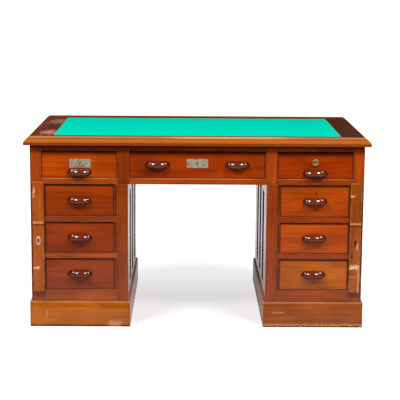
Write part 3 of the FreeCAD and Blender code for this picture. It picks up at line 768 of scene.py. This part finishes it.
def carcase_bands():
    """Painted shadow under the top's overhang and beside the flaps on the outer stiles, and a pale line on
    the rail below the frieze drawers: worn wood with a painted highlight along its arris.
    """
    beside_flap = run("Z", 0.34, 0.25)
    rail_edge = run("Z", 0.6130, 0.0018, 2.0)
    return (
        # Painted shadow under the top's overhang
        (BRUISE_AND_SHADOW, 0.8, run("Z", 0.746, 0.009, 0.2)),
        # Painted shadow cast by the flaps on the outer stiles
        (BRUISE_AND_SHADOW, 0.5, run("X", -0.667, 0.007, 1.0), beside_flap),
        (BRUISE_AND_SHADOW, 0.5, run("X", 0.667, 0.007, 1.0), beside_flap),
        # Worn arris with a painted highlight along it
        (GOLD_WEAR_AND_GLINT, 0.5, rail_edge, run("X", -0.475, 0.150)),
        (GOLD_WEAR_AND_GLINT, 0.6, rail_edge, run("X", 0.0, 0.265)),
        (GOLD_WEAR_AND_GLINT, 0.4, rail_edge, run("X", 0.475, 0.150)),
    )


def frieze_bands():
    """Darker patches on the frieze drawers' fronts."""
    return (
        (BRUISE_AND_SHADOW, 0.28, run("X", -0.215, 0.050, 1.0, BLOTS)),
        (BRUISE_AND_SHADOW, 0.30, run("X", 0.245, 0.045, 1.0, BLOTS)),
        (BRUISE_AND_SHADOW, 0.18, run("X", -0.365, 0.050, 1.0, BLOTS)),
    )


def flap_bands():
    """The mended break across both flaps, chips at their edges, bruises round the right keyhole, and
    painted shadow along their feet.
    """
    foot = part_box("locking_flap_left")[0][2]
    both = (
        (SCAR, 0.75, run("Z", 0.434, 0.0045, 3.5)),
        (BRUISE_AND_SHADOW, 0.6, run("Z", 0.425, 0.0035, 2.0)),
    )
    left = (
        (CHIP, 0.9, run("Z", 0.247, 0.006, 5.0), run("X", -0.650, 0.012, 3.0)),
        (CHIP, 0.7, run("Z", 0.560, 0.018, 4.0), run("X", -0.657, 0.004, 4.0)),
    )
    right = (
        (CHIP, 0.9, run("Z", 0.255, 0.010, 5.0), run("X", 0.640, 0.020, 2.0)),
        (CHIP, 0.8, run("Z", 0.548, 0.004, 4.0), run("X", 0.626, 0.010, 2.0)),
        (SCAR, 0.5, run("Z", 0.214, 0.0015, 1.0), run("X", 0.640, 0.030)),
        (CHIP, 0.7, run("X", 0.6565, 0.002, 2.0), run("Z", 0.200, 0.070, 1.0)),
        (BRUISE_AND_SHADOW, 0.75, run("Z", 0.352, 0.016, 3.0), run("X", 0.641, 0.005, 3.0)),
        (CHIP, 0.7, run("Z", 0.340, 0.014, 4.0), run("X", 0.650, 0.003, 3.0)),
        (BRUISE_AND_SHADOW, 0.6, run("Z", 0.300, 0.010, 3.0), run("X", 0.628, 0.006, 3.0)),
    )
    # The band along the flaps' feet is painted shadow
    return (*both, *left, *right, (BRUISE_AND_SHADOW, 0.75, run("Z", foot, 0.006, 4.0)))


def plinth_bands():
    """The kicked foot and scarred top of both plinths, and the left and right ones' own chips."""
    foot = (BRUISE_AND_SHADOW, 0.7, run("Z", 0.003, 0.006, 3.0))
    top = (SCAR, 0.3, run("Z", 0.103, 0.004, 2.0))
    corner_chips = (SCAR, 0.9, run("Z", 0.014, 0.012, 4.0), run("X", -0.335, 0.030, 2.0))
    upright_scratch = (SCAR, 0.5, run("X", -0.612, 0.003, 1.5), run("Z", 0.050, 0.020, 1.0))
    foot_chips = (SCAR, 0.7, run("Z", 0.010, 0.005, 5.0))
    level_scratch = (SCAR, 0.5, run("Z", 0.062, 0.003, 2.0), run("X", 0.335, 0.030, 0.5))
    return (foot, top, corner_chips, upright_scratch), (foot, foot_chips, top, level_scratch)


# ---------------------------------------------------------------- finishes


# The fronts' polish, whose strong soft edge darkening is partly dirt and partly painted shade in the gaps
FRONT_POLISH = {"coat": 0.45, "edge": 0.002, "grime": 0.85, "wear": 0.25}
RIGHT_PLINTH = (0.82, 0.76, 6.0)
PALE_NICKEL = (1.03, 0.84, 0.65)
DULL_BRASS = (0.56, 0.57, 0.46)


def make_woods():
    finish = bpy.context.scene.desk_finish
    left_bands, right_bands = plinth_bands()
    wood("Carcase mahogany", finish.carcase, edge=0.003, wear=0.7, bands=carcase_bands())
    wood("Pedestal side mahogany", scaled(finish.carcase, 0.85), coat=0.12, gloss=0.03, rough=0.22)
    # The beads are near black: dark wood, and painted shade of the panels' recesses
    wood("Dark bead mahogany", scaled(finish.pull, 0.2), figure=0.5, rough=0.7, coat=0.0, wear=0.0)
    wood("Plinth mahogany left", finish.plinth, coat=0.45, edge=0.003, spots=0.5, scratches=0.3,
         bands=left_bands)
    wood("Plinth mahogany right", scaled(finish.plinth, RIGHT_PLINTH), coat=0.3, edge=0.003, spots=0.5,
         scratches=0.5, bands=right_bands)
    wood("Top border mahogany", finish.border, rough=0.5, coat=0.02, bands=border_bands())
    # On the fronts, upper paints shade below the rail or top above each, and lower paints shade deepening
    # down
    wood("Drawer front mahogany", finish.front, upper=1.0, reach=0.011, lower=0.33, **FRONT_POLISH)
    wood("Frieze front mahogany", finish.front, upper=0.9, reach=0.027, bands=frieze_bands(), **FRONT_POLISH)
    # On the pulls and knobs, upper paints shade over the top of the turning
    wood("Turned mahogany", finish.pull, figure=0.5, rough=0.1, coat=0.0, gloss=0.5, wear=0.0, grime=0.0,
         upper=0.85, reach=0.02, scuff=0.1, relief=0.05)
    wood("Locking flap mahogany", finish.flap, wear=2.0, edge=0.003, scratches=0.5, bands=flap_bands())
    wood("Oak lining", finish.lining, figure=0.7, rough=0.6, coat=0.0, wear=0.0, grime=0.2)


def make_finishes():
    finish = bpy.context.scene.desk_finish
    for group in (grain_group, edge_group, band_group, scratch_group, scuff_group):
        group()
    make_woods()
    cloth("Green baize", finish.baize)
    metal("Scratched nickel", finish.nickel, 0.34)
    metal("Pale nickel", scaled(finish.nickel, PALE_NICKEL), 0.3)
    metal("Lock brass", finish.brass, 0.34)
    metal("Dull hinge brass", scaled(finish.brass, DULL_BRASS), 0.45)
    dark_hole("Keyhole dark")


# ---------------------------------------------------------------- pieces


BORDER_ENDS = 0.5


def border_stain(middle):
    """The left board of the border has faded, and the right one is the darkest."""
    if abs(middle.x) < BORDER_ENDS:
        return PLAIN
    return (0.53, 0.63, 0.72) if middle.x > 0 else (1.62, 1.2, 0.9)


def make_baize():
    """The cloth of the writing surface, which sinks a little at its edge."""
    dip = sizes().baize_dip
    low, middle, high = node_box("writing_surface")
    size = high - low
    bm = bmesh.new()
    bmesh.ops.create_grid(bm, x_segments=48, y_segments=26, size=0.5)
    for v in bm.verts:
        inset = min(0.5 - abs(v.co.x), 0.5 - abs(v.co.y))
        z = high.z - (dip if inset < SMALLEST else 0)
        v.co = (middle.x + v.co.x * size.x, middle.y + v.co.y * size.y, z)
    bmesh.ops.solidify(bm, geom=bm.faces[:], thickness=size.z - dip)
    baize = make_object("baize", bm, "Green baize")
    seat(baize, "writing_surface", replaces=True)


def make_top():
    dress("top_border", "Top border mahogany", sizes().arris, border_stain, 0.2)
    dress("top_panel", "Oak lining", 0.0)
    make_baize()


# Where the front frames' boards are: the first four are distances from the desk's middle, and the last
# three are the highest that a board's middle is above the floor
INNER_STILES = 0.32
INNER_CHEEKS = 0.35
OUTER_CHEEKS = 0.60
OUTER_STILES = 0.64
BOTTOM_RAILS = 0.2
LOWER_RAILS = 0.37
FRIEZE_RAILS = 0.62
# The narrow cheeks beside the drawers, darkened as painted shade in the recess beside each drawer
CHEEK_SHADE = (0.50, 0.42, 0.42)


def frame_stain(middle):
    """How much each board of the front frames is lightened, darkened or tinted, by where its middle is.
    The narrow cheeks beside the drawers are darkened as painted shade.
    """
    across, right = abs(middle.x), middle.x > 0
    if middle.z > PEDESTAL_TOP:
        if across > OUTER_STILES:
            return (1.28, 1.45, 1.15) if right else (1.12, 1.15, 1.10)
        return (1.2, 1.3, 0.9) if middle.z < FRIEZE_RAILS and across > INNER_STILES else PLAIN
    if across < INNER_STILES:
        return (0.83, 0.80, 0.78) if right else (0.76, 0.78, 0.80)
    if across < INNER_CHEEKS:
        return CHEEK_SHADE
    if across > OUTER_STILES:
        return PLAIN
    if across > OUTER_CHEEKS:
        return CHEEK_SHADE
    if middle.z < BOTTOM_RAILS:
        return PLAIN if right else (0.80, 0.85, 0.70)
    if middle.z < LOWER_RAILS:
        return PLAIN if right else (1.40, 1.60, 1.20)
    return (1.0, 0.82, 0.6) if right else (1.08, 1.10, 1.3)


def make_frieze():
    dress("frieze_front_frame", "Carcase mahogany", sizes().arris, frame_stain)
    for node in ("frieze_rear_frame", "frieze_ends"):
        dress(node, "Carcase mahogany", sizes().arris)
    dress("frieze_partitions", "Oak lining", 0.0)


def make_pedestals():
    for side in ("left", "right"):
        pedestal = "pedestal_" + side
        dress(pedestal + "_front_frame", "Carcase mahogany", sizes().arris, frame_stain)
        dress(pedestal + "_sides", "Pedestal side mahogany", 0.0)
        dress(pedestal + "_carcase", "Oak lining", 0.0)
    dress("pedestal_rear_frames", "Carcase mahogany", sizes().arris)
    for side, sign in (("left", -1), ("right", 1)):
        solids = [faces for faces in closed_solids("plinths") if solid_limits(faces)[0].x * sign > 0]
        boards = marked(side, solids, sizes().plinth_arris, spread=0.1)
        plinth = make_object("plinth_" + side, boards, "Plinth mahogany " + side)
        seat(plinth, "plinths", replaces=True)
    dress("drawer_runners", "Oak lining", 0.0)


BEAD_PROFILE = (
    (0.0, 1.0), (0.16, 1.0), (0.22, 0.86), (0.34, 0.84), (0.50, 0.78), (0.66, 0.64), (0.80, 0.44),
    (0.90, 0.20), (0.94, 0.02), (1.0, 0.02),
)
SOLIDS_PER_PANEL = 5
BOARD_OF_PANEL = 4
PANEL_STAIN = (0.75, 0.75, 0.75)


def bead(low, high, face, out):
    """The moulded bead round one panel. BEAD_PROFILE is its section, in from the edge and out of the face."""
    bm = bmesh.new()
    rows = []
    for inset, height in BEAD_PROFILE:
        d = inset * sizes().bead_width
        x = face + out * height * sizes().bead_height
        left, right, foot, head = low.y + d, high.y - d, low.z + d, high.z - d
        corners = ((left, foot), (right, foot), (right, head), (left, head))
        rows.append([bm.verts.new((x, y, z)) for y, z in corners])
    floor = [[bm.verts.new((face, v.co.y, v.co.z)) for v in row] for row in (rows[-1], rows[0])]
    fill_grid(bm, rows + floor + rows[:1], closed=True)
    bmesh.ops.remove_doubles(bm, verts=bm.verts, dist=SMALLEST / 10)
    bmesh.ops.recalc_face_normals(bm, faces=bm.faces)
    return bm


def make_panels():
    """Sunk panels of the pedestal sides. Every fifth solid is a panel, after the four lengths of its bead."""
    solids = closed_solids("side_panels")
    dress(
        "side_panels", "Pedestal side mahogany", 0.0, PANEL_STAIN,
        keep=lambda n: n % SOLIDS_PER_PANEL == BOARD_OF_PANEL,
    )
    chance = random.Random("beads")
    parts = []
    for n in range(0, len(solids), SOLIDS_PER_PANEL):
        low, high = solid_limits(solids[n + BOARD_OF_PANEL])
        bead_high = solid_limits(solids[n])[1]
        out = 1 if bead_high.x > high.x + SMALLEST else -1
        part = bead(low, high, high.x if out > 0 else low.x, out)
        mark_board(part, chance, spread=0.2)
        parts.append(part)
    # Near-black beads: dark wood, and painted shade of the recesses round the sunk panels
    beads = make_object("panel_beads", join(parts), "Dark bead mahogany")
    seat(beads, "side_panels", replaces=True)


FRONT_STAINS = {
    "frieze_drawer_left_front": (1.20, 1.24, 0.5),
    "frieze_drawer_centre_front": (0.94, 0.78, 0.3),
    "frieze_drawer_right_front": (0.89, 0.70, 0.3),
    "left_drawer_upper_front": (0.93, 0.92, 0.4),
    "left_drawer_middle_front": (0.75, 0.73, 0.65),
    "left_drawer_lower_front": (0.77, 0.87, 1.8),
    "right_drawer_upper_front": (1.15, 1.30, 0.6),
    "right_drawer_middle_front": (1.33, 1.46, 0.5),
    "right_drawer_lower_front": (1.38, 2.38, 1.8),
}
PLUG_STAIN = (1.9, 2.6, 1.5)
# A rear drawer's solids are its front, the four boards of its box, and then its pulls
FIRST_REAR_PULL = 5


def make_drawers():
    """Dresses each front drawer. The upper right front has a round plug after its board."""
    for node, stain in FRONT_STAINS.items():
        material = "Frieze front mahogany" if node.startswith("frieze") else "Drawer front mahogany"
        dress(node, material, sizes().front_arris, stain, spread=0.0, keep=lambda n: n == 0)
        dress(node.replace("_front", "_box"), "Oak lining", sizes().arris)
    node = "right_drawer_upper_front"
    plug = marked(node, closed_solids(node)[1:], 0.0, PLUG_STAIN, 0.0)
    seat(make_object("wood_plug", plug, "Drawer front mahogany"), node, replaces=True)


def make_rear_drawers():
    for node in ("rear_drawer_left", "rear_drawer_centre", "rear_drawer_right"):
        solids = closed_solids(node)
        front = marked(node, solids[:1], sizes().front_arris)
        seat(make_object(node + "_front", front, "Frieze front mahogany"), node, replaces=True)
        box = marked(node, solids[1:FIRST_REAR_PULL], sizes().arris)
        seat(make_object(node + "_box", box, "Oak lining"), node, replaces=True)


def pull_boxes():
    """Each node that holds pulls in the CAD, with the lowest and highest corner of each of them."""
    for node in frame["nodes"]:
        if node.endswith("_pull"):
            yield node, [solid_limits(faces) for faces in closed_solids(node)]
    for node in frame["nodes"]:
        if node.startswith("rear_drawer"):
            yield node, [solid_limits(faces) for faces in closed_solids(node)[FIRST_REAR_PULL:]]


def make_pulls():
    """A turned pull for every pull in the CAD, set out on the drawer's face. The rear ones face back."""
    for node, boxes in pull_boxes():
        middles = [(low + high) / 2 for low, high in boxes]
        rear = middles[0].y > 0
        face = boxes[0][0].y if rear else boxes[0][1].y
        bm = cup_pull()
        mark_board(bm, random.Random(node), spread=0.3)
        if rear:
            bmesh.ops.rotate(bm, verts=bm.verts, matrix=Matrix.Rotation(math.pi, 3, "Z"))
        centre = sum(middles, Vector()) / len(middles)
        place = (centre.x, face, centre.z)
        apart = max(m.x for m in middles) - min(m.x for m in middles)
        name = node.replace("_pull", "") + "_cup_pull"
        piece = set_out(name, bm, "Turned mahogany", place, width=apart, columns=len(middles))
        seat(piece, node, replaces=True)


FLAP_STAINS = {"left": PLAIN, "right": (0.76, 0.80, 0.9)}


def make_flaps():
    for side, stain in FLAP_STAINS.items():
        dress("locking_flap_" + side, "Locking flap mahogany", sizes().arris, stain, 0.0)


KNOB_PROFILE = (
    (9.5, 0.0), (9.8, 1.5), (8.6, 3.2), (7.0, 5.6), (6.4, 8.4), (7.2, 10.4), (10.2, 12.4), (12.8, 14.8),
    (14.0, 18.0), (13.2, 21.4), (10.6, 24.0), (6.4, 25.5), (2.0, 26.0),
)
KNOB_STEPS = 40
KNOB_OF_DOOR = 5


def make_doors():
    """The rear cupboard doors, whose last solid is the knob. KNOB_PROFILE is in millimetres."""
    for side in ("left", "right"):
        node = "cupboard_door_" + side
        dress(node, "Carcase mahogany", sizes().arris, keep=lambda n: n != KNOB_OF_DOOR)
        low, high = solid_limits(closed_solids(node)[KNOB_OF_DOOR])
        middle = (low + high) / 2
        bm = bmesh.new()
        profile = [(radius / 1000, reach / 1000) for radius, reach in KNOB_PROFILE]
        turned(bm, profile, KNOB_STEPS, Vector((middle.x, low.y, middle.z)), BACKWARD)
        mark_board(bm, random.Random(node))
        seat(make_object("cupboard_knob_" + side, bm, "Turned mahogany"), node, replaces=True)


PIN_PROFILE = ((1.0, 0.0), (1.0, 0.15), (0.8, 0.34), (0.45, 0.45), (0.12, 0.48))
PIN_STEPS = 14
PIN_SINK = 0.0002


def plate_pins(node, name, columns, rows, inset):
    """Domed pins on the face of a plate, on a grid that stands in from its edges."""
    radius = sizes().pin_radius
    low, middle, high = node_box(node)
    bm = bmesh.new()
    profile = [(radius * part, radius * reach) for part, reach in PIN_PROFILE]
    turned(bm, profile, PIN_STEPS, Vector((0, PIN_SINK, 0)), FORWARD)
    width = high.x - low.x - 2 * inset if columns > 1 else 0.0
    height = high.z - low.z - 2 * inset if rows > 1 else 0.0
    centre = (middle.x, low.y, middle.z)
    seat(set_out(name, bm, "Scratched nickel", centre, width, height, columns, rows), node)


# The size of the dark sheet of painted shade behind a plate's keyhole
KEYHOLE_SHADE_SIZE = Vector((0.009, 0.0006, 0.018))
SHADE_SHEET_ARRIS = 0.0002


def keyhole_shade_sheet(node, name):
    """A dark sheet behind the keyhole of a plate, level with the wood that carries it: painted shade
    standing for the unlit inside of the lock.
    """
    middle, high = node_box(node)[1:]
    bm = bmesh.new()
    bmesh.ops.create_cube(bm, size=1.0)
    for v in bm.verts:
        v.co = Vector((middle.x, high.y, middle.z)) + v.co * KEYHOLE_SHADE_SIZE
    bmesh.ops.bevel(bm, geom=bm.edges[:], offset=SHADE_SHEET_ARRIS, segments=1, affect="EDGES")
    seat(make_object(name, bm, "Keyhole dark"), node)


RIM_PROFILE = (
    (1.0, 0.0), (1.0, 0.08), (0.95, 0.16), (0.86, 0.21), (0.72, 0.23), (0.58, 0.20), (0.48, 0.12),
    (0.45, 0.0),
)
RIM_STEPS = 40
RIM_SINK = 0.0004


def cylinder_rim(node, name):
    """The rolled rim round the face of the cylinder lock. RIM_PROFILE is in shares of its radius."""
    low, middle, high = node_box(node)
    radius = (high.x - low.x) / 2
    bm = bmesh.new()
    profile = [(radius * part, radius * reach) for part, reach in RIM_PROFILE]
    turned(bm, profile, RIM_STEPS, Vector((middle.x, low.y + RIM_SINK, middle.z)), FORWARD, ring=True)
    seat(make_object(name, bm, "Lock brass"), node)


ESCUTCHEON_PROFILE = (
    (0.0, 0.0), (0.0, 0.55), (0.10, 0.85), (0.28, 1.0), (0.58, 0.92), (0.84, 0.60), (1.0, 0.30), (1.0, 0.0),
)
KEYHOLE_SHARE = (0.36, 0.52)
KEYHOLE_SKIRT = 0.6
KEYHOLE_DEPTH = 0.15
OVAL_STEPS = 48


def escutcheon(node, name):
    """An oval plate with a rolled face and a keyhole, whose skirt is narrower than its head.

    ESCUTCHEON_PROFILE runs in from the rim, as a share of the way to the keyhole, and out of the wood,
    as a share of the thickness. The keyhole's size is a share of the plate's."""
    low, middle, high = node_box(node)
    size = high - low
    turns = [math.tau * n / OVAL_STEPS for n in range(OVAL_STEPS)]

    def ring(bm, part, reach):
        loop = []
        for a in turns:
            hole = KEYHOLE_SHARE[0] * (1 if math.sin(a) > 0 else KEYHOLE_SKIRT)
            x = size.x / 2 * math.cos(a) * (1 - part + part * hole)
            z = size.z / 2 * math.sin(a) * (1 - part + part * KEYHOLE_SHARE[1])
            loop.append(bm.verts.new((middle.x + x, high.y - size.y * reach, middle.z + z)))
        return loop

    bm = bmesh.new()
    rows = [ring(bm, part, reach) for part, reach in ESCUTCHEON_PROFILE]
    fill_grid(bm, rows + rows[:1], closed=True)
    seat(make_object(name, bm, "Pale nickel"), node, replaces=True)
    # A dark plug inside the keyhole, painted shade for the unlit lock behind it
    bm = bmesh.new()
    fill_grid(bm, [ring(bm, 1.0, 0.0), ring(bm, 1.0, KEYHOLE_DEPTH)], closed=True, caps=True)
    seat(make_object(name + "_keyhole", bm, "Keyhole dark"), node)


PLATE_ARRIS = 0.0003
OVAL_PIN_INSET = 1.8


def make_locks():
    """The lock plates, the oval escutcheon, whose pins stand OVAL_PIN_INSET radii in, and the cylinder."""
    for side in ("left", "centre"):
        node = "lock_plate_" + side
        dress(node, "Scratched nickel", PLATE_ARRIS)
        plate_pins(node, "plate_pins_" + side, 2, 2, sizes().pin_inset)
        keyhole_shade_sheet(node, "keyhole_shadow_" + side)
    escutcheon("flap_escutcheon", "oval_escutcheon")
    plate_pins("flap_escutcheon", "escutcheon_pins", 1, 2, sizes().pin_radius * OVAL_PIN_INSET)
    dress("lock_cylinder_right", "Lock brass", PLATE_ARRIS)
    cylinder_rim("lock_cylinder_right", "lock_cylinder_rim")


HINGES = ("fixed_hinge_halves", "flap_hinge_left", "flap_hinge_right", "door_hinge_left", "door_hinge_right")


def make_hinges():
    for node in HINGES:
        dress(node, "Dull hinge brass", 0.0)


# ---------------------------------------------------------------- stage


# Metres and radians. The camera turns to the right, drops and rolls from a level look along +Y.
CAMERA_PLACE = Vector((-0.0375, -5.461, 1.4307))
CAMERA_TURN = 0.0096
CAMERA_DROP = 0.1767
CAMERA_ROLL = -0.0070
FOCAL_PIXELS = 1274.1
FRAME_PIXELS = 400
SENSOR = 36.0


def make_camera():
    forward = Vector((
        math.sin(CAMERA_TURN) * math.cos(CAMERA_DROP),
        math.cos(CAMERA_TURN) * math.cos(CAMERA_DROP),
        -math.sin(CAMERA_DROP),
    ))
    level = Vector((math.cos(CAMERA_TURN), -math.sin(CAMERA_TURN), 0))
    below = forward.cross(level)
    right = level * math.cos(CAMERA_ROLL) + below * math.sin(CAMERA_ROLL)
    down = below * math.cos(CAMERA_ROLL) - level * math.sin(CAMERA_ROLL)
    camera = bpy.data.cameras.new("Camera")
    camera.sensor_width = SENSOR
    camera.lens = FOCAL_PIXELS * SENSOR / FRAME_PIXELS
    camera.clip_end = 100
    viewer = bpy.data.objects.new("Camera", camera)
    axes = Matrix((right, -down, -forward)).transposed()
    viewer.matrix_world = Matrix.Translation(CAMERA_PLACE) @ axes.to_4x4()
    bpy.context.scene.collection.objects.link(viewer)
    bpy.context.scene.camera = viewer


LAMP_DISTANCE = 4.0
LAMP_AIM = Vector((0, 0, 0.5))


def make_lamp(name, azimuth, elevation, size, lamp_power):
    """A softbox aimed at the desk. azimuth runs in degrees from the front towards the sitter's right."""
    across, up = math.radians(azimuth), math.radians(elevation)
    away = Vector((math.sin(across) * math.cos(up), -math.cos(across) * math.cos(up), math.sin(up)))
    lamp = bpy.data.lights.new(name, "AREA")
    lamp.shape = "RECTANGLE"
    lamp.size, lamp.size_y = size
    lamp.energy = lamp_power
    holder = bpy.data.objects.new(name, lamp)
    holder.location = LAMP_AIM + away * LAMP_DISTANCE
    holder.rotation_euler = (-away).to_track_quat("-Z", "Y").to_euler()
    bpy.context.scene.collection.objects.link(holder)


def mirrored(t, path):
    """Whether a ray comes by way of a mirroring or a clear surface."""
    return t.math("MAXIMUM", path["Is Glossy Ray"], path["Is Transmission Ray"])


def make_world(room):
    """White for the camera, and for gloss a white backdrop behind the desk and a dim room in front of it."""
    world = bpy.data.worlds.new("Studio")
    world.use_nodes = True
    world.node_tree.nodes.clear()
    t = Tree(world.node_tree)
    path = t.node("ShaderNodeLightPath").outputs
    direction = t.parts(t.node("ShaderNodeTexCoord").outputs["Generated"])
    backdrop = t.ramp(direction["Y"], 0.0, 0.4, 0.08, 1.0)
    strength = t.mix(mirrored(t, path), grey(room), backdrop)
    strength = t.math("MAXIMUM", path["Is Camera Ray"], strength)
    background = t.node("ShaderNodeBackground", Color=grey(1), Strength=strength)
    t.node("ShaderNodeOutputWorld", Surface=background.outputs[0])
    bpy.context.scene.world = world


FLOOR_HALF = 40
SHADOW_MIDDLE = (0, -0.35, 0)


def make_floor(glow):
    """A pale floor that keeps the desk's shadow near it and turns white for the camera further off.

    In front it runs into the dim room, so the polish mirrors it low down and not higher up."""
    t = new_material("Pale studio floor")
    coords = t.coordinates()
    forward = t.parts(coords)["Y"]
    near = t.ramp(forward, -3.2, -1.2)
    pale = t.mix(t.noise(coords, 1.5, 2.0, 0.5), grey(0.44), grey(0.46))
    distance = t.vector("DISTANCE", coords, SHADOW_MIDDLE, output="Value")
    lift = t.math("ADD", t.ramp(distance, 0.2, 0.9, glow, 0.75), t.ramp(distance, 0.8, 2.4, 0.0, 0.25))
    path = t.node("ShaderNodeLightPath").outputs
    polish = t.math("MULTIPLY", mirrored(t, path), t.ramp(forward, -1.6, -0.2))
    seen = t.math("MAXIMUM", path["Is Camera Ray"], polish)
    t.surface(
        Base_Color=t.mix(near, grey(0.1), pale), Roughness=0.9, Specular_IOR_Level=0.1,
        Emission_Color=grey(1), Emission_Strength=t.math("MULTIPLY", seen, lift),
    )
    bm = bmesh.new()
    bmesh.ops.create_grid(bm, x_segments=2, y_segments=2, size=FLOOR_HALF)
    make_object("floor", bm, "Pale studio floor")


FRONT_SOFTBOX = (1.0, 0.8)
SIDE_SOFTBOX = (0.5, 0.6)


def make_stage():
    stage = bpy.context.scene.desk_stage
    make_camera()
    make_world(stage.room)
    make_floor(stage.lit_floor)
    for name, azimuth in (("Left front softbox", -38), ("Right front softbox", 38)):
        make_lamp(name, azimuth, 44, FRONT_SOFTBOX, stage.front_lamp)
    for name, azimuth in (("Left side softbox", -76), ("Right side softbox", 76)):
        make_lamp(name, azimuth, 42, SIDE_SOFTBOX, stage.side_lamp)
    bpy.context.scene.view_settings.view_transform = "Standard"


# ---------------------------------------------------------------- operators


class DESK_OT_finishes(bpy.types.Operator):
    """Mix the desk's woods, cloth and metals"""

    bl_idname = "desk.finishes"
    bl_label = "Finishes"

    def execute(self, context):
        make_finishes()
        return {"FINISHED"}


class DESK_OT_top(bpy.types.Operator):
    """Dress the top's border and panel and lay its baize"""

    bl_idname = "desk.top"
    bl_label = "Top"

    def execute(self, context):
        make_top()
        return {"FINISHED"}


class DESK_OT_frieze(bpy.types.Operator):
    """Dress the frieze's frames, ends and partitions"""

    bl_idname = "desk.frieze"
    bl_label = "Frieze"

    def execute(self, context):
        make_frieze()
        return {"FINISHED"}


class DESK_OT_pedestals(bpy.types.Operator):
    """Dress the pedestals' frames, sides, inner boards and plinths"""

    bl_idname = "desk.pedestals"
    bl_label = "Pedestals"

    def execute(self, context):
        make_pedestals()
        return {"FINISHED"}


class DESK_OT_panels(bpy.types.Operator):
    """Set the sunk panels and run a moulded bead round each"""

    bl_idname = "desk.panels"
    bl_label = "Sunk panels"

    def execute(self, context):
        make_panels()
        return {"FINISHED"}


class DESK_OT_drawers(bpy.types.Operator):
    """Dress every drawer's front and box"""

    bl_idname = "desk.drawers"
    bl_label = "Drawers"

    def execute(self, context):
        make_drawers()
        make_rear_drawers()
        return {"FINISHED"}


class DESK_OT_pulls(bpy.types.Operator):
    """Turn the cup pulls and set them on the drawers"""

    bl_idname = "desk.pulls"
    bl_label = "Cup pulls"

    def execute(self, context):
        make_pulls()
        return {"FINISHED"}


class DESK_OT_flaps(bpy.types.Operator):
    """Dress the two locking flaps"""

    bl_idname = "desk.flaps"
    bl_label = "Locking flaps"

    def execute(self, context):
        make_flaps()
        return {"FINISHED"}


class DESK_OT_doors(bpy.types.Operator):
    """Dress the rear cupboard doors and turn their knobs"""

    bl_idname = "desk.doors"
    bl_label = "Cupboard doors"

    def execute(self, context):
        make_doors()
        return {"FINISHED"}


class DESK_OT_locks(bpy.types.Operator):
    """Fit the lock plates, the escutcheon and the cylinder lock"""

    bl_idname = "desk.locks"
    bl_label = "Locks"

    def execute(self, context):
        make_locks()
        return {"FINISHED"}


class DESK_OT_hinges(bpy.types.Operator):
    """Dress the hinges of the flaps and doors"""

    bl_idname = "desk.hinges"
    bl_label = "Hinges"

    def execute(self, context):
        make_hinges()
        return {"FINISHED"}


class DESK_OT_stage(bpy.types.Operator):
    """Set the floor, the room, the softboxes and the camera"""

    bl_idname = "desk.stage"
    bl_label = "Stage"

    def execute(self, context):
        make_stage()
        return {"FINISHED"}


OPERATORS = (
    DESK_OT_finishes, DESK_OT_top, DESK_OT_frieze, DESK_OT_pedestals, DESK_OT_panels, DESK_OT_drawers,
    DESK_OT_pulls, DESK_OT_flaps, DESK_OT_doors, DESK_OT_locks, DESK_OT_hinges, DESK_OT_stage,
)


class DESK_PT_sidebar(bpy.types.Panel):
    """Lists the desk's pieces and settings"""

    bl_label = "Desk"
    bl_idname = "DESK_PT_sidebar"
    bl_space_type = "VIEW_3D"
    bl_region_type = "UI"
    bl_category = "Desk"

    def draw(self, context):
        scene = context.scene
        for settings in (scene.desk_finish, scene.desk_sizes, scene.desk_stage):
            box = self.layout.box()
            for name in settings.__annotations__:
                box.prop(settings, name)
        column = self.layout.column(align=True)
        for item in OPERATORS:
            column.operator(item.bl_idname)


CLASSES = (FinishSettings, SizeSettings, StageSettings, *OPERATORS, DESK_PT_sidebar)


def register():
    for item in CLASSES:
        bpy.utils.register_class(item)
    bpy.types.Scene.desk_finish = bpy.props.PointerProperty(type=FinishSettings)
    bpy.types.Scene.desk_sizes = bpy.props.PointerProperty(type=SizeSettings)
    bpy.types.Scene.desk_stage = bpy.props.PointerProperty(type=StageSettings)


def unregister():
    for name in ("desk_finish", "desk_sizes", "desk_stage"):
        delattr(bpy.types.Scene, name)
    for item in reversed(CLASSES):
        bpy.utils.unregister_class(item)


def main():
    register()
    for step in (
        bpy.ops.desk.finishes, bpy.ops.desk.top, bpy.ops.desk.frieze, bpy.ops.desk.pedestals,
        bpy.ops.desk.panels, bpy.ops.desk.drawers, bpy.ops.desk.pulls, bpy.ops.desk.flaps,
        bpy.ops.desk.doors, bpy.ops.desk.locks, bpy.ops.desk.hinges, bpy.ops.desk.stage,
    ):
        step()


if __name__ == "__main__":
    main()
